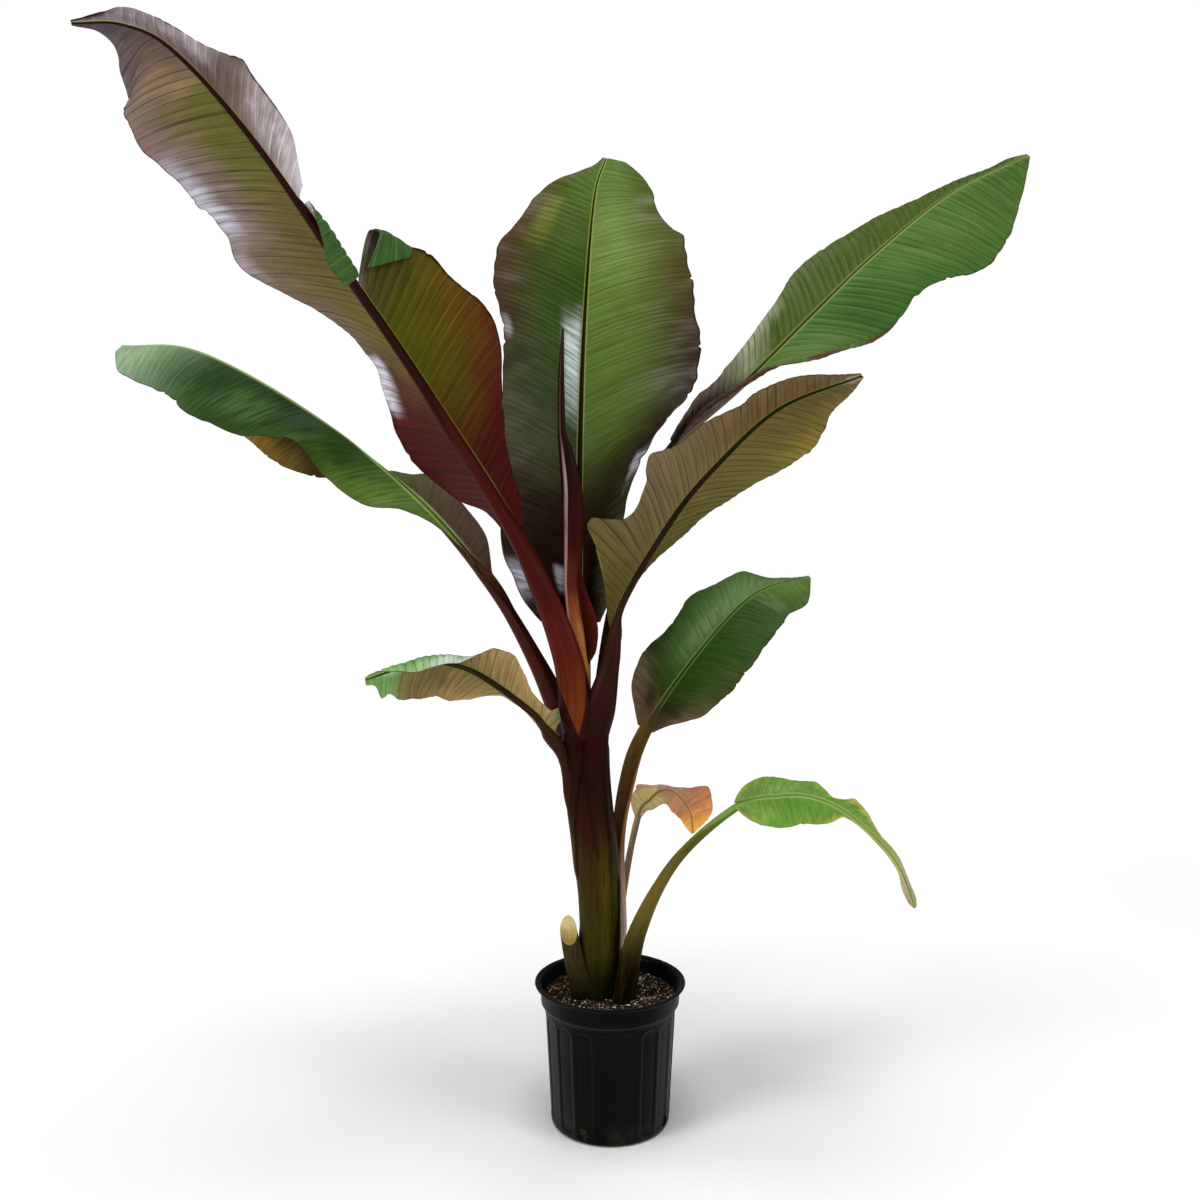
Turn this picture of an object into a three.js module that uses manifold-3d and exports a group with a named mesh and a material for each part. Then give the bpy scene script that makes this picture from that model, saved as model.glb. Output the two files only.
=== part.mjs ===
// Red-leaved abyssinian banana in a black nursery pot, about 1.8 m tall.
// Millimetres, +Z up, +Y away from the viewer. The origin is the centre of the pot's underside.
import * as THREE from 'three';
import { ParametricGeometry } from 'three/addons/geometries/ParametricGeometry.js';
import { mergeVertices } from 'three/addons/utils/BufferGeometryUtils.js';
import Module from 'manifold-3d';

const wasm = await Module();
wasm.setup();

// Clearance between pieces that touch on the real plant
const GAP = 0.3;

// Pot: a tapered wall under a stepped collar and a rolled lip
const POT_HEIGHT = 250;
const POT_WALL = 3;
const LIP_RADIUS = 134.5;
const LIP_HEIGHT = 6;
const COLLAR_RADIUS = 124;
const COLLAR_FOOT = 214;
const BODY_TOP_RADIUS = 116.5;
const BODY_TOP = 198;
const BODY_FOOT_RADIUS = 105.5;
const FOOT_ROUND = 7;
const FOOT_CHAMFER = 2;
const LIP_ROUND = 1;
const RIM_CHAMFER = 2;
const POT_SIDES = 48;

// Drain holes through the foot of the wall
const DRAIN_HOLES = 4;
const DRAIN_FIRST = -117;
const DRAIN_RADIUS = 8.5;
const DRAIN_HEIGHT = 13;
const DRAIN_REACH = 30;
const DRAIN_SIDES = 12;

// Potting mix fills the pot to this level, and the trunk is cut flat there
const SOIL_LEVEL = 228;

// Trunk stations: x, y, z of the centre, then half its width and half its depth
const FORK_LEVEL = 690;
const TRUNK = [
  [-20, 0, SOIL_LEVEL + GAP, 33, 37],
  [-17, 0, 262, 32, 36],
  [-16, 0, 317, 35, 37],
  [-19, 0, 393, 38, 39],
  [-26, 0, 479, 42, 41],
  [-36, 0, 564, 42, 41],
  [-44, 0, 644, 43, 42],
  [-47, 0, FORK_LEVEL, 44, 43],
];
const TRUNK_SIDES = 16;
const TRUNK_ROWS = 12;

// A blade is this share of its own length thick
const BLADE_THICKNESS = 0.0105;
// Columns across each half of a blade, as shares of its width
const BLADE_COLUMNS = [0.22, 0.48, 0.74, 1];
// The rib under a blade starts this share of the stalk's depth and thins to the blade at the tip
const RIB_SHARE = 0.6;
const MITRE_LIMIT = 0.5;

// Stalks are ten-sided rings this far apart, with the channel on top this share of the full depth
const STALK_SIDES = 10;
const STALK_STEP = 60;
const STALK_LEAST_ROWS = 4;
const CHANNEL_SHARE = 0.7;
const CHANNEL_FROM = 0.5;

// Steps that a midline is measured in, and the distance within which corners are the same corner
const MIDLINE_STEPS = 400;
const SAME_CORNER = 0.001;

// Colours and roughness of the pieces that are not leaves
const POT_COLOUR = 0x232326;
const MIX_COLOUR = 0x3a2c20;
const TRUNK_COLOUR = 0x46401c;
const SPEAR_COLOUR = 0x502018;
const STUMP_COLOUR = 0x8a7448;
const POT_ROUGHNESS = 0.55;
const MIX_ROUGHNESS = 0.95;
const STEM_ROUGHNESS = 0.45;
const BLADE_ROUGHNESS = 0.5;

// Leaves. heading is the compass way that the leaf leans (0 is +X, 90 is +Y), and sweep is how far the
// veins run on towards the tip, as a share of the blade. path is the midline, and its point number
// bladeFrom is where the stalk ends. stalk keys are [share, width, depth], roll keys are [share, degrees],
// and each half of the blade has keys [share, width, fold at the rib, further curl], in degrees. A blade
// that hangs over at its end is two pieces, and tipFrom is the share where the hanging one starts.
const LEAVES = {
  front_left_leaf: {
    heading: 215, sweep: 0.13, bladeFrom: 2, rows: 30, stalkColour: 0x5f2319, bladeColour: 0x6b4a35,
    path: [[-65, -18, 690], [-88, -33, 835], [-150, -80, 1028], [-280, -160, 1239], [-394, -250, 1420],
      [-507, -350, 1591], [-590, -420, 1682], [-645, -452, 1702], [-700, -480, 1690]],
    stalk: [[0, 36, 27], [0.3, 46, 30], [0.65, 44, 30], [1, 36, 26]],
    roll: [[0, -35], [0.35, -45], [0.6, -75], [1, -75]],
    right: [[0, 12, 35, 0], [0.12, 156, 32, 0], [0.2, 160, 36, 0], [0.3, 136, 46, 0], [0.4, 128, 42, 0],
      [0.48, 140, 32, 0], [0.7, 130, 22, 0], [0.8, 118, 18, 0], [0.87, 84, 14, 0], [0.92, 40, 10, 0],
      [1, 4, 10, 0]],
    left: [[0, 12, 35, 0], [0.08, 52, 35, -10], [0.16, 112, 32, -15], [0.25, 160, 30, -20],
      [0.33, 142, 28, -25], [0.375, 150, 35, -20], [0.39, 30, 10, -40], [0.415, 26, -60, 0],
      [0.47, 46, -80, 0], [0.53, 46, -80, 0], [0.56, 22, -20, 0], [0.58, 70, 30, 0], [0.64, 104, 45, 0],
      [0.72, 100, 45, 0], [0.8, 52, 45, 0], [0.9, 26, 45, 0], [1, 3, 40, 0]],
  },
  back_leaf: {
    heading: 90, sweep: 0.08, bladeFrom: 2, rows: 22, stalkColour: 0x4a201a, bladeColour: 0x5a8c3c,
    path: [[-50, 24, 690], [-52, 40, 819], [-54, 50, 880], [-54, 75, 1001], [-55, 145, 1238],
      [-48, 225, 1479], [-30, 305, 1734], [-6, 337, 1830]],
    stalk: [[0, 34, 26], [0.6, 38, 27], [1, 34, 24]],
    roll: [[0, 0], [1, 0]],
    right: [[0, 30, 55, 0], [0.05, 88, 55, 0], [0.15, 127, 52, 0], [0.25, 172, 42, 0], [0.36, 214, 25, -15],
      [0.46, 229, 14, -20], [0.6, 216, 10, -20], [0.75, 190, 8, -20], [0.85, 135, 5, -15],
      [0.93, 102, 0, -10], [1, 15, 0, 0]],
    left: [[0, 92, 42, 0], [0.05, 138, 36, 0], [0.1, 152, 28, -10], [0.3, 155, 18, -20],
      [0.45, 154, 14, -20], [0.6, 180, 10, -20], [0.7, 185, 8, -20], [0.8, 150, 5, -15],
      [0.9, 80, 0, -10], [1, 6, 0, 0]],
  },
  back_right_leaf: {
    heading: 15, sweep: 0.08, bladeFrom: 3, rows: 24, stalkColour: 0x4a201a, bladeColour: 0x508246,
    path: [[-26, 9, 690], [4, 60, 927], [56, 85, 1111], [116, 105, 1218], [254, 140, 1333],
      [390, 185, 1473], [524, 225, 1604], [685, 270, 1736], [850, 300, 1822]],
    stalk: [[0, 32, 26], [0.3, 36, 26], [1, 26, 20]],
    roll: [[0, -40], [0.3, -50], [1, -50]],
    right: [[0, 20, 75, 0], [0.08, 70, 75, 0], [0.17, 84, 60, 0], [0.27, 80, 20, -40], [0.4, 126, -15, 0],
      [0.52, 122, -15, 0], [0.65, 168, -15, 0], [0.75, 156, -15, 0], [0.86, 106, -15, 0], [1, 5, -15, 0]],
    left: [[0, 20, 60, 40], [0.08, 54, 60, 40], [0.17, 50, 40, 0], [0.3, 76, 0, 0], [0.44, 122, -15, 0],
      [0.6, 112, -25, 0], [0.75, 96, -36, 0], [0.86, 60, -36, 0], [1, 4, -15, 0]],
  },
  front_right_leaf: {
    heading: -40, sweep: 0.08, bladeFrom: 2, rows: 24, stalkColour: 0x3c1e1c, bladeColour: 0x6e5f3c,
    path: [[-28, -20, 690], [4, -40, 828], [25, -55, 916], [106, -125, 1065], [167, -180, 1157],
      [251, -255, 1225], [356, -350, 1261]],
    stalk: [[0, 38, 28], [0.3, 45, 30], [1, 30, 24]],
    roll: [[0, 30], [0.3, 40], [1, 40]],
    right: [[0, 30, 20, 0], [0.1, 98, 20, 0], [0.145, 124, 20, 0], [0.2, 72, 25, 0], [0.26, 66, 25, 0],
      [0.34, 88, 25, 0], [0.42, 84, 20, -25], [0.55, 80, 15, -50], [0.7, 70, 10, -55], [0.85, 44, 5, -55],
      [1, 4, 5, 0]],
    left: [[0, 5, 40, 0], [0.1, 8, 40, 0], [0.2, 44, 35, 0], [0.4, 106, 25, 0], [0.5, 110, 18, 0],
      [0.6, 104, 14, 0], [0.8, 62, 10, 0], [0.9, 42, 10, 0], [1, 5, 5, 0]],
  },
  left_leaf: {
    heading: 170, sweep: 0.07, bladeFrom: 2, rows: 24, stalkColour: 0x55251c, bladeColour: 0x46783a,
    path: [[-73, 8, 690], [-133, 14, 818], [-221, 30, 966], [-366, 50, 1129], [-558, 75, 1280],
      [-766, 105, 1390], [-910, 120, 1402]],
    stalk: [[0, 34, 27], [0.3, 39, 29], [1, 28, 21]],
    roll: [[0, 0], [1, 0]],
    right: [[0, 12, 75, 0], [0.07, 50, 65, 0], [0.2, 64, 40, 0], [0.28, 76, 0, -20], [0.38, 112, -50, -20],
      [0.5, 126, -70, -10], [0.62, 112, -62, -20], [0.8, 104, -50, -20], [0.93, 84, -40, -20],
      [1, 30, -30, 0]],
    left: [[0, 5, -10, 0], [0.1, 12, -10, 0], [0.17, 46, -30, 0], [0.25, 84, -45, -20],
      [0.33, 90, -45, -20], [0.42, 90, -22, -20], [0.49, 100, -40, -20], [0.57, 116, -55, -20],
      [0.68, 124, -55, -20], [0.79, 106, -55, -20], [0.91, 94, -50, -20], [0.965, 78, -45, -10],
      [1, 30, -40, 0]],
  },
  low_left_leaf: {
    heading: 200, sweep: 0.05, bladeFrom: 2, rows: 18, stalkColour: 0x4b2a1c, bladeColour: 0x967d50,
    path: [[-62, -18, 570], [-82, -28, 640], [-140, -60, 739], [-229, -105, 812], [-297, -140, 832],
      [-341, -165, 825], [-392, -190, 808]],
    stalk: [[0, 24, 20], [0.5, 29, 24], [1, 20, 16]],
    roll: [[0, -80], [0.5, -80], [0.75, -55], [1, -40]],
    right: [[0, 6, 20, 0], [0.1, 9, 20, 0], [0.27, 54, 10, 0], [0.36, 63, 5, 0], [0.5, 60, 0, 0],
      [0.65, 78, 0, 0], [0.8, 74, 0, 0], [0.9, 62, 0, 0], [1, 6, 0, 0]],
    left: [[0, 25, 20, 0], [0.1, 48, 20, 0], [0.2, 60, 12, 0], [0.28, 56, 5, -20], [0.38, 50, 0, -70],
      [0.5, 50, -10, -120], [0.7, 46, -10, -120], [0.85, 40, -10, -60], [1, 6, 0, 0]],
  },
  right_leaf: {
    heading: 15, sweep: 0.08, bladeFrom: 3, rows: 18, stalkColour: 0x4a3019, bladeColour: 0x3c6e2d,
    path: [[20, 24, 330], [15, 22, 480], [33, 24, 600], [65, 32, 695], [160, 68, 826], [268, 104, 935],
      [379, 135, 970]],
    stalk: [[0, 18, 14], [0.35, 24, 18], [0.75, 30, 22], [1, 24, 18]],
    roll: [[0, -45], [1, -50]],
    right: [[0, 15, 0, 0], [0.12, 78, 0, 0], [0.2, 97, 5, 0], [0.3, 104, 8, 0], [0.5, 95, 5, 0],
      [0.65, 84, 0, 0], [0.8, 64, -5, 0], [0.9, 56, -5, 0], [1, 6, -5, 0]],
    left: [[0, 18, 10, 0], [0.12, 72, 15, 0], [0.22, 84, 10, 0], [0.34, 74, 10, 0], [0.46, 84, 5, 0],
      [0.6, 68, 0, -10], [0.7, 64, -10, -10], [0.8, 50, -30, -10], [1, 5, -40, 0]],
  },
  withered_leaf: {
    heading: 20, sweep: 0.04, bladeFrom: 2, rows: 16, stalkColour: 0x6e5a3a, bladeColour: 0x966450,
    path: [[14, 30, 290], [25, 42, 390], [52, 70, 525], [74, 80, 555], [97, 88, 571], [124, 96, 563],
      [150, 104, 528], [157, 108, 485]],
    stalk: [[0, 14, 12], [0.5, 15, 13], [1, 12, 10]],
    roll: [[0, -60], [0.45, -60], [0.7, -85], [1, -85]],
    right: [[0, 6, 0, 0], [0.2, 20, 0, 0], [0.35, 28, 0, 0], [0.5, 32, 0, 0], [0.7, 26, 0, 0],
      [0.85, 19, 0, 0], [1, 3, 0, 0]],
    left: [[0, 6, 0, 0], [0.2, 36, 0, 0], [0.3, 14, 0, 0], [0.42, 9, 0, 0], [0.55, 24, 0, 0],
      [0.67, 57, 0, 0], [0.8, 50, 0, 0], [0.9, 32, 0, 0], [1, 3, 0, 0]],
  },
  low_right_leaf: {
    heading: -20, sweep: 0.05, bladeFrom: 3, rows: 10, stalkColour: 0x5f6428, bladeColour: 0x6eaa32,
    tipFrom: 0.5, tipColour: 0x96826e,
    path: [[24, -24, SOIL_LEVEL + GAP], [40, -31, 350], [103, -51, 477], [212, -82, 579], [283, -104, 603],
      [343, -121, 603], [402, -140, 574], [465, -158, 508], [493, -172, 435]],
    stalk: [[0, 40, 28], [0.2, 38, 27], [0.5, 28, 22], [1, 18, 14]],
    roll: [[0, -10], [0.5, -20], [1, -20]],
    right: [[0, 8, 0, 0], [0.06, 40, -35, 0], [0.18, 55, -42, 0], [0.3, 46, -45, 0], [0.4, 38, -60, 0],
      [0.48, 34, -72, 0], [0.7, 28, -72, 0], [0.9, 15, -60, 0], [1, 4, -30, 0]],
    left: [[0, 10, 30, 0], [0.06, 46, 25, 0], [0.14, 50, 20, 0], [0.3, 42, 10, 0], [0.36, 24, 10, 0],
      [0.43, 36, 0, 0], [0.5, 54, 0, 0], [0.6, 42, -10, 0], [0.7, 22, -10, 0], [1, 4, 0, 0]],
  },
};

// The rolled new leaf in the middle, and the cut stump of an old stalk: x, y, z, half width, half depth
const SPEAR = [
  [-49, 2, FORK_LEVEL + GAP, 9, 9],
  [-53, 8, 800, 15, 13],
  [-66, 12, 925, 17, 15],
  [-69, 15, 1030, 15, 14],
  [-70, 18, 1130, 18, 15],
  [-76, 18, 1175, 16, 13],
  [-85, 19, 1208, 10, 9],
  [-87, 21, 1310, 8, 8],
  [-83, 24, 1411, 2, 2],
];
const SPEAR_ROWS = 18;
const STUMP = [
  [-52, -12, SOIL_LEVEL + GAP, 18, 16],
  [-60, -13, 290, 16, 15],
  [-75, -15, 360, 15, 13],
];
const STUMP_ROWS = 4;

const radians = THREE.MathUtils.degToRad;
const point = (place) => new THREE.Vector3(place[0], place[1], place[2]);

// Smooth value of one column of keys at a share of the length, with no overshoot between keys
function keyed(keys, column, share) {
  const last = keys.length - 1;
  const slope = (i) => (keys[i + 1][column] - keys[i][column]) / (keys[i + 1][0] - keys[i][0]);
  const tangent = (i) => {
    if (i === 0) return slope(0);
    if (i === last) return slope(last - 1);
    const before = slope(i - 1);
    const after = slope(i);
    return before * after > 0 ? (2 * before * after) / (before + after) : 0;
  };
  const at = THREE.MathUtils.clamp(share, keys[0][0], keys[last][0]);
  let i = 0;
  while (i < last - 1 && at >= keys[i + 1][0]) i += 1;
  const span = keys[i + 1][0] - keys[i][0];
  const u = (at - keys[i][0]) / span;
  const start = (1 + 2 * u) * (1 - u) ** 2 * keys[i][column] + u * (1 - u) ** 2 * span * tangent(i);
  const end = u * u * (3 - 2 * u) * keys[i + 1][column] + u * u * (u - 1) * span * tangent(i + 1);
  return start + end;
}

// A geometry with shared corners, no empty faces, and faces that point out
function closed(shape) {
  const bare = shape.clone();
  bare.deleteAttribute('normal');
  bare.deleteAttribute('uv');
  const merged = mergeVertices(bare, SAME_CORNER);
  const places = merged.getAttribute('position');
  const corner = (i) => new THREE.Vector3().fromBufferAttribute(places, i);
  const index = merged.getIndex().array;
  const faces = [];
  let volume = 0;
  for (let i = 0; i < index.length; i += 3) {
    const [a, b, c] = [index[i], index[i + 1], index[i + 2]];
    if (a !== b && b !== c && c !== a) {
      faces.push([a, b, c]);
      volume += corner(a).dot(corner(b).cross(corner(c)));
    }
  }
  merged.setIndex(faces.flatMap(([a, b, c]) => (volume > 0 ? [a, b, c] : [a, c, b])));
  return merged;
}

function solidOf(geometry) {
  const vertProperties = new Float32Array(geometry.getAttribute('position').array);
  const triVerts = new Uint32Array(geometry.getIndex().array);
  return new wasm.Manifold(new wasm.Mesh({ numProp: 3, vertProperties, triVerts }));
}

function geometryOf(solid) {
  const mesh = solid.getMesh();
  const geometry = new THREE.BufferGeometry();
  geometry.setAttribute('position', new THREE.BufferAttribute(mesh.vertProperties, 3));
  geometry.setIndex(Array.from(mesh.triVerts));
  return geometry;
}

// The piece without what its neighbours take, keeping its main body where a cut leaves crumbs
function trimmed(solid, neighbours) {
  const cut = neighbours.reduce((rest, neighbour) => rest.subtract(neighbour), solid);
  return cut.decompose().reduce((main, body) => (body.volume() > main.volume() ? body : main));
}

// A closed skin over rings of points that all have the same count
function skin(rings) {
  const around = rings[0].length;
  const along = rings.length - 1;
  const place = (u, v, target) => {
    target.copy(rings[Math.round(v * along)][Math.round(u * around) % around]);
  };
  return closed(new ParametricGeometry(place, around, along));
}

// A ring drawn together to its centre, which closes the end of a stem
function gathered(ring) {
  const centre = ring.reduce((sum, p) => sum.add(p), new THREE.Vector3()).divideScalar(ring.length);
  return ring.map(() => centre);
}

function capped(rings) {
  return skin([gathered(rings[0]), ...rings, gathered(rings[rings.length - 1])]);
}

// An upright stem through stations of level oval rings, made larger all over by grow
function stem(stations, rows, sides, grow = 0) {
  const centre = new THREE.CatmullRomCurve3(stations.map(point), false, 'catmullrom');
  const foot = stations[0][2];
  const rise = stations[stations.length - 1][2] - foot;
  const keys = stations.map((s) => [(s[2] - foot) / rise, s[3], s[4]]);
  const rings = [];
  for (let row = 0; row <= rows; row += 1) {
    const middle = centre.getPointAt(row / rows);
    const share = (middle.z - foot) / rise;
    const ring = [];
    for (let side = 0; side < sides; side += 1) {
      const turn = (2 * Math.PI * side) / sides;
      const x = (keyed(keys, 1, share) + grow) * Math.cos(turn);
      const y = (keyed(keys, 2, share) + grow) * Math.sin(turn);
      ring.push(new THREE.Vector3(middle.x + x, middle.y + y, middle.z));
    }
    rings.push(ring);
  }
  rings[0].forEach((p) => { p.z -= grow; });
  rings[rows].forEach((p) => { p.z += grow; });
  return capped(rings);
}

// Midline of a leaf, with its length and the share of it that is stalk
function midline(leaf) {
  const curve = new THREE.CatmullRomCurve3(leaf.path.map(point), false, 'catmullrom');
  curve.arcLengthDivisions = MIDLINE_STEPS;
  const lengths = curve.getLengths();
  const stalkEnd = Math.round((MIDLINE_STEPS * leaf.bladeFrom) / (leaf.path.length - 1));
  const length = lengths[MIDLINE_STEPS];
  return { curve, length, base: lengths[stalkEnd] / length };
}

// Place, way on, right-hand side and upper side at a share of the midline
function frameAt(leaf, line, share) {
  const at = THREE.MathUtils.clamp(share, 0, 1);
  const heading = radians(leaf.heading);
  const ahead = line.curve.getTangentAt(at);
  const level = new THREE.Vector3(Math.sin(heading), -Math.cos(heading), 0);
  const side = level.addScaledVector(ahead, -level.dot(ahead)).normalize();
  const upper = new THREE.Vector3().crossVectors(side, ahead);
  const blade = (at - line.base) / (1 - line.base);
  const full = radians(keyed(leaf.roll, 1, Math.max(blade, 0)));
  const roll = blade < 0 ? full * (at / line.base) : full;
  const right = side.clone().multiplyScalar(Math.cos(roll)).addScaledVector(upper, Math.sin(roll));
  const top = upper.clone().multiplyScalar(Math.cos(roll)).addScaledVector(side, -Math.sin(roll));
  return { place: line.curve.getPointAt(at), ahead, right, top };
}

// A stalk: oval rings along the midline, dented on the upper side as a banana's leaf stalk is
function stalk(leaf, line, grow = 0) {
  const end = line.base - GAP / line.length;
  const rows = Math.max(STALK_LEAST_ROWS, Math.round((line.length * end) / STALK_STEP));
  const rings = [];
  for (let row = 0; row <= rows; row += 1) {
    const share = row / rows;
    const frame = frameAt(leaf, line, share * end);
    const width = keyed(leaf.stalk, 1, share) / 2 + grow;
    const depth = keyed(leaf.stalk, 2, share) / 2 + grow;
    const ring = [];
    for (let side = 0; side < STALK_SIDES; side += 1) {
      const turn = (2 * Math.PI * (side + 0.5)) / STALK_SIDES;
      const dent = Math.sin(turn) > CHANNEL_FROM ? CHANNEL_SHARE : 1;
      const p = frame.place.clone().addScaledVector(frame.right, width * Math.cos(turn));
      ring.push(p.addScaledVector(frame.top, depth * dent * Math.sin(turn)));
    }
    rings.push(ring);
  }
  const foot = leaf.path[0][2] + (leaf.path[0][2] === FORK_LEVEL ? GAP : 0) - grow;
  rings[0].forEach((p) => { p.z = foot; });
  return capped(rings);
}

// Across and up shares of a strip that leaves the rib at an angle and turns on by a curl
function bend(fold, curl, across) {
  const turn = Math.abs(curl) < 1e-4 ? 1e-4 : curl;
  const out = (Math.sin(fold + turn * across) - Math.sin(fold)) / turn;
  const up = (Math.cos(fold) - Math.cos(fold + turn * across)) / turn;
  return [out, up];
}

// Middle of the blade's thickness on one half, and the way its upper face points there
function bladePoint(leaf, line, keys, sign, row, across) {
  const swept = row + 4 * leaf.sweep * row * (1 - row) * across;
  const frame = frameAt(leaf, line, line.base + (1 - line.base) * swept);
  const width = keyed(keys, 1, row);
  const fold = radians(keyed(keys, 2, row));
  const curl = radians(keyed(keys, 3, row));
  const [out, up] = bend(fold, curl, across);
  const place = frame.place.clone().addScaledVector(frame.right, sign * width * out);
  place.addScaledVector(frame.top, width * up);
  const lean = fold + curl * across;
  const face = frame.top.clone().multiplyScalar(Math.cos(lean));
  face.addScaledVector(frame.right, -sign * Math.sin(lean));
  return { place, face };
}

// A blade: two bent halves on a rib that stands out below, between two shares of the blade's length
function blade(leaf, line, from, to) {
  const thick = (line.length * (1 - line.base) * BLADE_THICKNESS) / 2;
  const endKeys = leaf.stalk[leaf.stalk.length - 1];
  const rings = [];
  for (let step = 0; step <= leaf.rows; step += 1) {
    const row = THREE.MathUtils.lerp(from, to, step / leaf.rows);
    const half = (keys, sign) => BLADE_COLUMNS.map((c) => bladePoint(leaf, line, keys, sign, row, c));
    const right = half(leaf.right, 1);
    const left = half(leaf.left, -1);
    const rib = bladePoint(leaf, line, leaf.right, 1, row, 0);
    const leftFace = bladePoint(leaf, line, leaf.left, -1, row, 0).face;
    const lean = rib.face.clone().add(leftFace).normalize();
    const mitre = 1 / Math.max(MITRE_LIMIT, lean.dot(leftFace));
    const middle = { place: rib.place, face: lean.multiplyScalar(mitre) };
    const ribDepth = THREE.MathUtils.lerp(endKeys[2] * RIB_SHARE, thick, Math.sqrt(row));
    const across = [...left.reverse(), middle, ...right];
    const upper = across.map((p) => p.place.clone().addScaledVector(p.face, thick));
    const lower = across.map((p) => {
      const drop = p === middle ? Math.max(thick, ribDepth) : thick;
      return p.place.clone().addScaledVector(p.face, -drop);
    });
    const edge = across.map((p) => p.place.clone());
    if (step === 0) rings.push([...edge, ...edge.slice().reverse()]);
    rings.push([...upper, ...lower.reverse()]);
    if (step === leaf.rows) rings.push([...edge, ...edge.slice().reverse()]);
  }
  return skin(rings);
}

function potShell() {
  const at = (r, z) => new THREE.Vector2(r, z);
  const inside = (r) => r - POT_WALL;
  const lipFoot = POT_HEIGHT - LIP_HEIGHT;
  const foot = [
    at(0, 0), at(BODY_FOOT_RADIUS - FOOT_ROUND, 0), at(BODY_FOOT_RADIUS - FOOT_CHAMFER, FOOT_CHAMFER),
    at(BODY_FOOT_RADIUS, FOOT_ROUND),
  ];
  const outside = [
    at(BODY_TOP_RADIUS, BODY_TOP), at(COLLAR_RADIUS, COLLAR_FOOT), at(COLLAR_RADIUS, lipFoot),
  ];
  const lip = [
    at(LIP_RADIUS - LIP_ROUND, lipFoot), at(LIP_RADIUS, POT_HEIGHT - LIP_HEIGHT / 2),
    at(LIP_RADIUS - LIP_ROUND, POT_HEIGHT), at(inside(COLLAR_RADIUS) + RIM_CHAMFER, POT_HEIGHT),
  ];
  const lining = [
    at(inside(COLLAR_RADIUS), POT_HEIGHT - RIM_CHAMFER), at(inside(COLLAR_RADIUS), COLLAR_FOOT),
    at(inside(BODY_TOP_RADIUS), BODY_TOP), at(inside(BODY_FOOT_RADIUS), POT_WALL), at(0, POT_WALL),
  ];
  const profile = [...foot, ...outside, ...lip, ...lining];
  const upright = new THREE.LatheGeometry(profile, POT_SIDES).rotateX(Math.PI / 2);
  const holes = [];
  for (let i = 0; i < DRAIN_HOLES; i += 1) {
    const hole = new THREE.CylinderGeometry(DRAIN_RADIUS, DRAIN_RADIUS, DRAIN_REACH, DRAIN_SIDES);
    hole.rotateZ(Math.PI / 2).translate(BODY_FOOT_RADIUS, 0, DRAIN_HEIGHT);
    hole.rotateZ(radians(DRAIN_FIRST + (360 * i) / DRAIN_HOLES));
    holes.push(solidOf(closed(hole)));
  }
  return geometryOf(trimmed(solidOf(closed(upright)), holes));
}

function pottingMix() {
  const at = (r, z) => new THREE.Vector2(r - POT_WALL - GAP, z);
  const centre = (z) => new THREE.Vector2(0, z);
  const profile = [
    centre(POT_WALL + GAP), at(BODY_FOOT_RADIUS, POT_WALL + GAP), at(BODY_TOP_RADIUS, BODY_TOP),
    at(COLLAR_RADIUS, COLLAR_FOOT), at(COLLAR_RADIUS, SOIL_LEVEL), centre(SOIL_LEVEL),
  ];
  return closed(new THREE.LatheGeometry(profile, POT_SIDES).rotateX(Math.PI / 2));
}

const plant = new THREE.Group();

function addPart(name, geometry, color, roughness) {
  geometry.computeVertexNormals();
  const material = new THREE.MeshStandardMaterial({ color, roughness, metalness: 0 });
  const mesh = new THREE.Mesh(geometry, material);
  mesh.name = name;
  plant.add(mesh);
}

addPart('pot', potShell(), POT_COLOUR, POT_ROUGHNESS);
addPart('potting_mix', pottingMix(), MIX_COLOUR, MIX_ROUGHNESS);
addPart('pseudostem', stem(TRUNK, TRUNK_ROWS, TRUNK_SIDES), TRUNK_COLOUR, STEM_ROUGHNESS);

// Each stem piece is cut back from those placed before it, so that sheaths lie side by side
const placed = [solidOf(stem(TRUNK, TRUNK_ROWS, TRUNK_SIDES, GAP))];

function addStem(name, build, color) {
  addPart(name, geometryOf(trimmed(solidOf(build(0)), placed)), color, STEM_ROUGHNESS);
  placed.push(solidOf(build(GAP)));
}

for (const [name, leaf] of Object.entries(LEAVES)) {
  const line = midline(leaf);
  addStem(`${name}_stalk`, (grow) => stalk(leaf, line, grow), leaf.stalkColour);
  const tipFrom = leaf.tipFrom ?? 1;
  addPart(`${name}_blade`, blade(leaf, line, 0, tipFrom), leaf.bladeColour, BLADE_ROUGHNESS);
  if (tipFrom < 1) {
    const clear = (2 * GAP) / (line.length * (1 - line.base));
    addPart(`${name}_tip`, blade(leaf, line, tipFrom + clear, 1), leaf.tipColour, BLADE_ROUGHNESS);
  }
}
addStem('spear_leaf', (grow) => stem(SPEAR, SPEAR_ROWS, STALK_SIDES, grow), SPEAR_COLOUR);
addStem('cut_stalk_stump', (grow) => stem(STUMP, STUMP_ROWS, STALK_SIDES, grow), STUMP_COLOUR);

export default plant;
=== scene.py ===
# %% [markdown]
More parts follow.
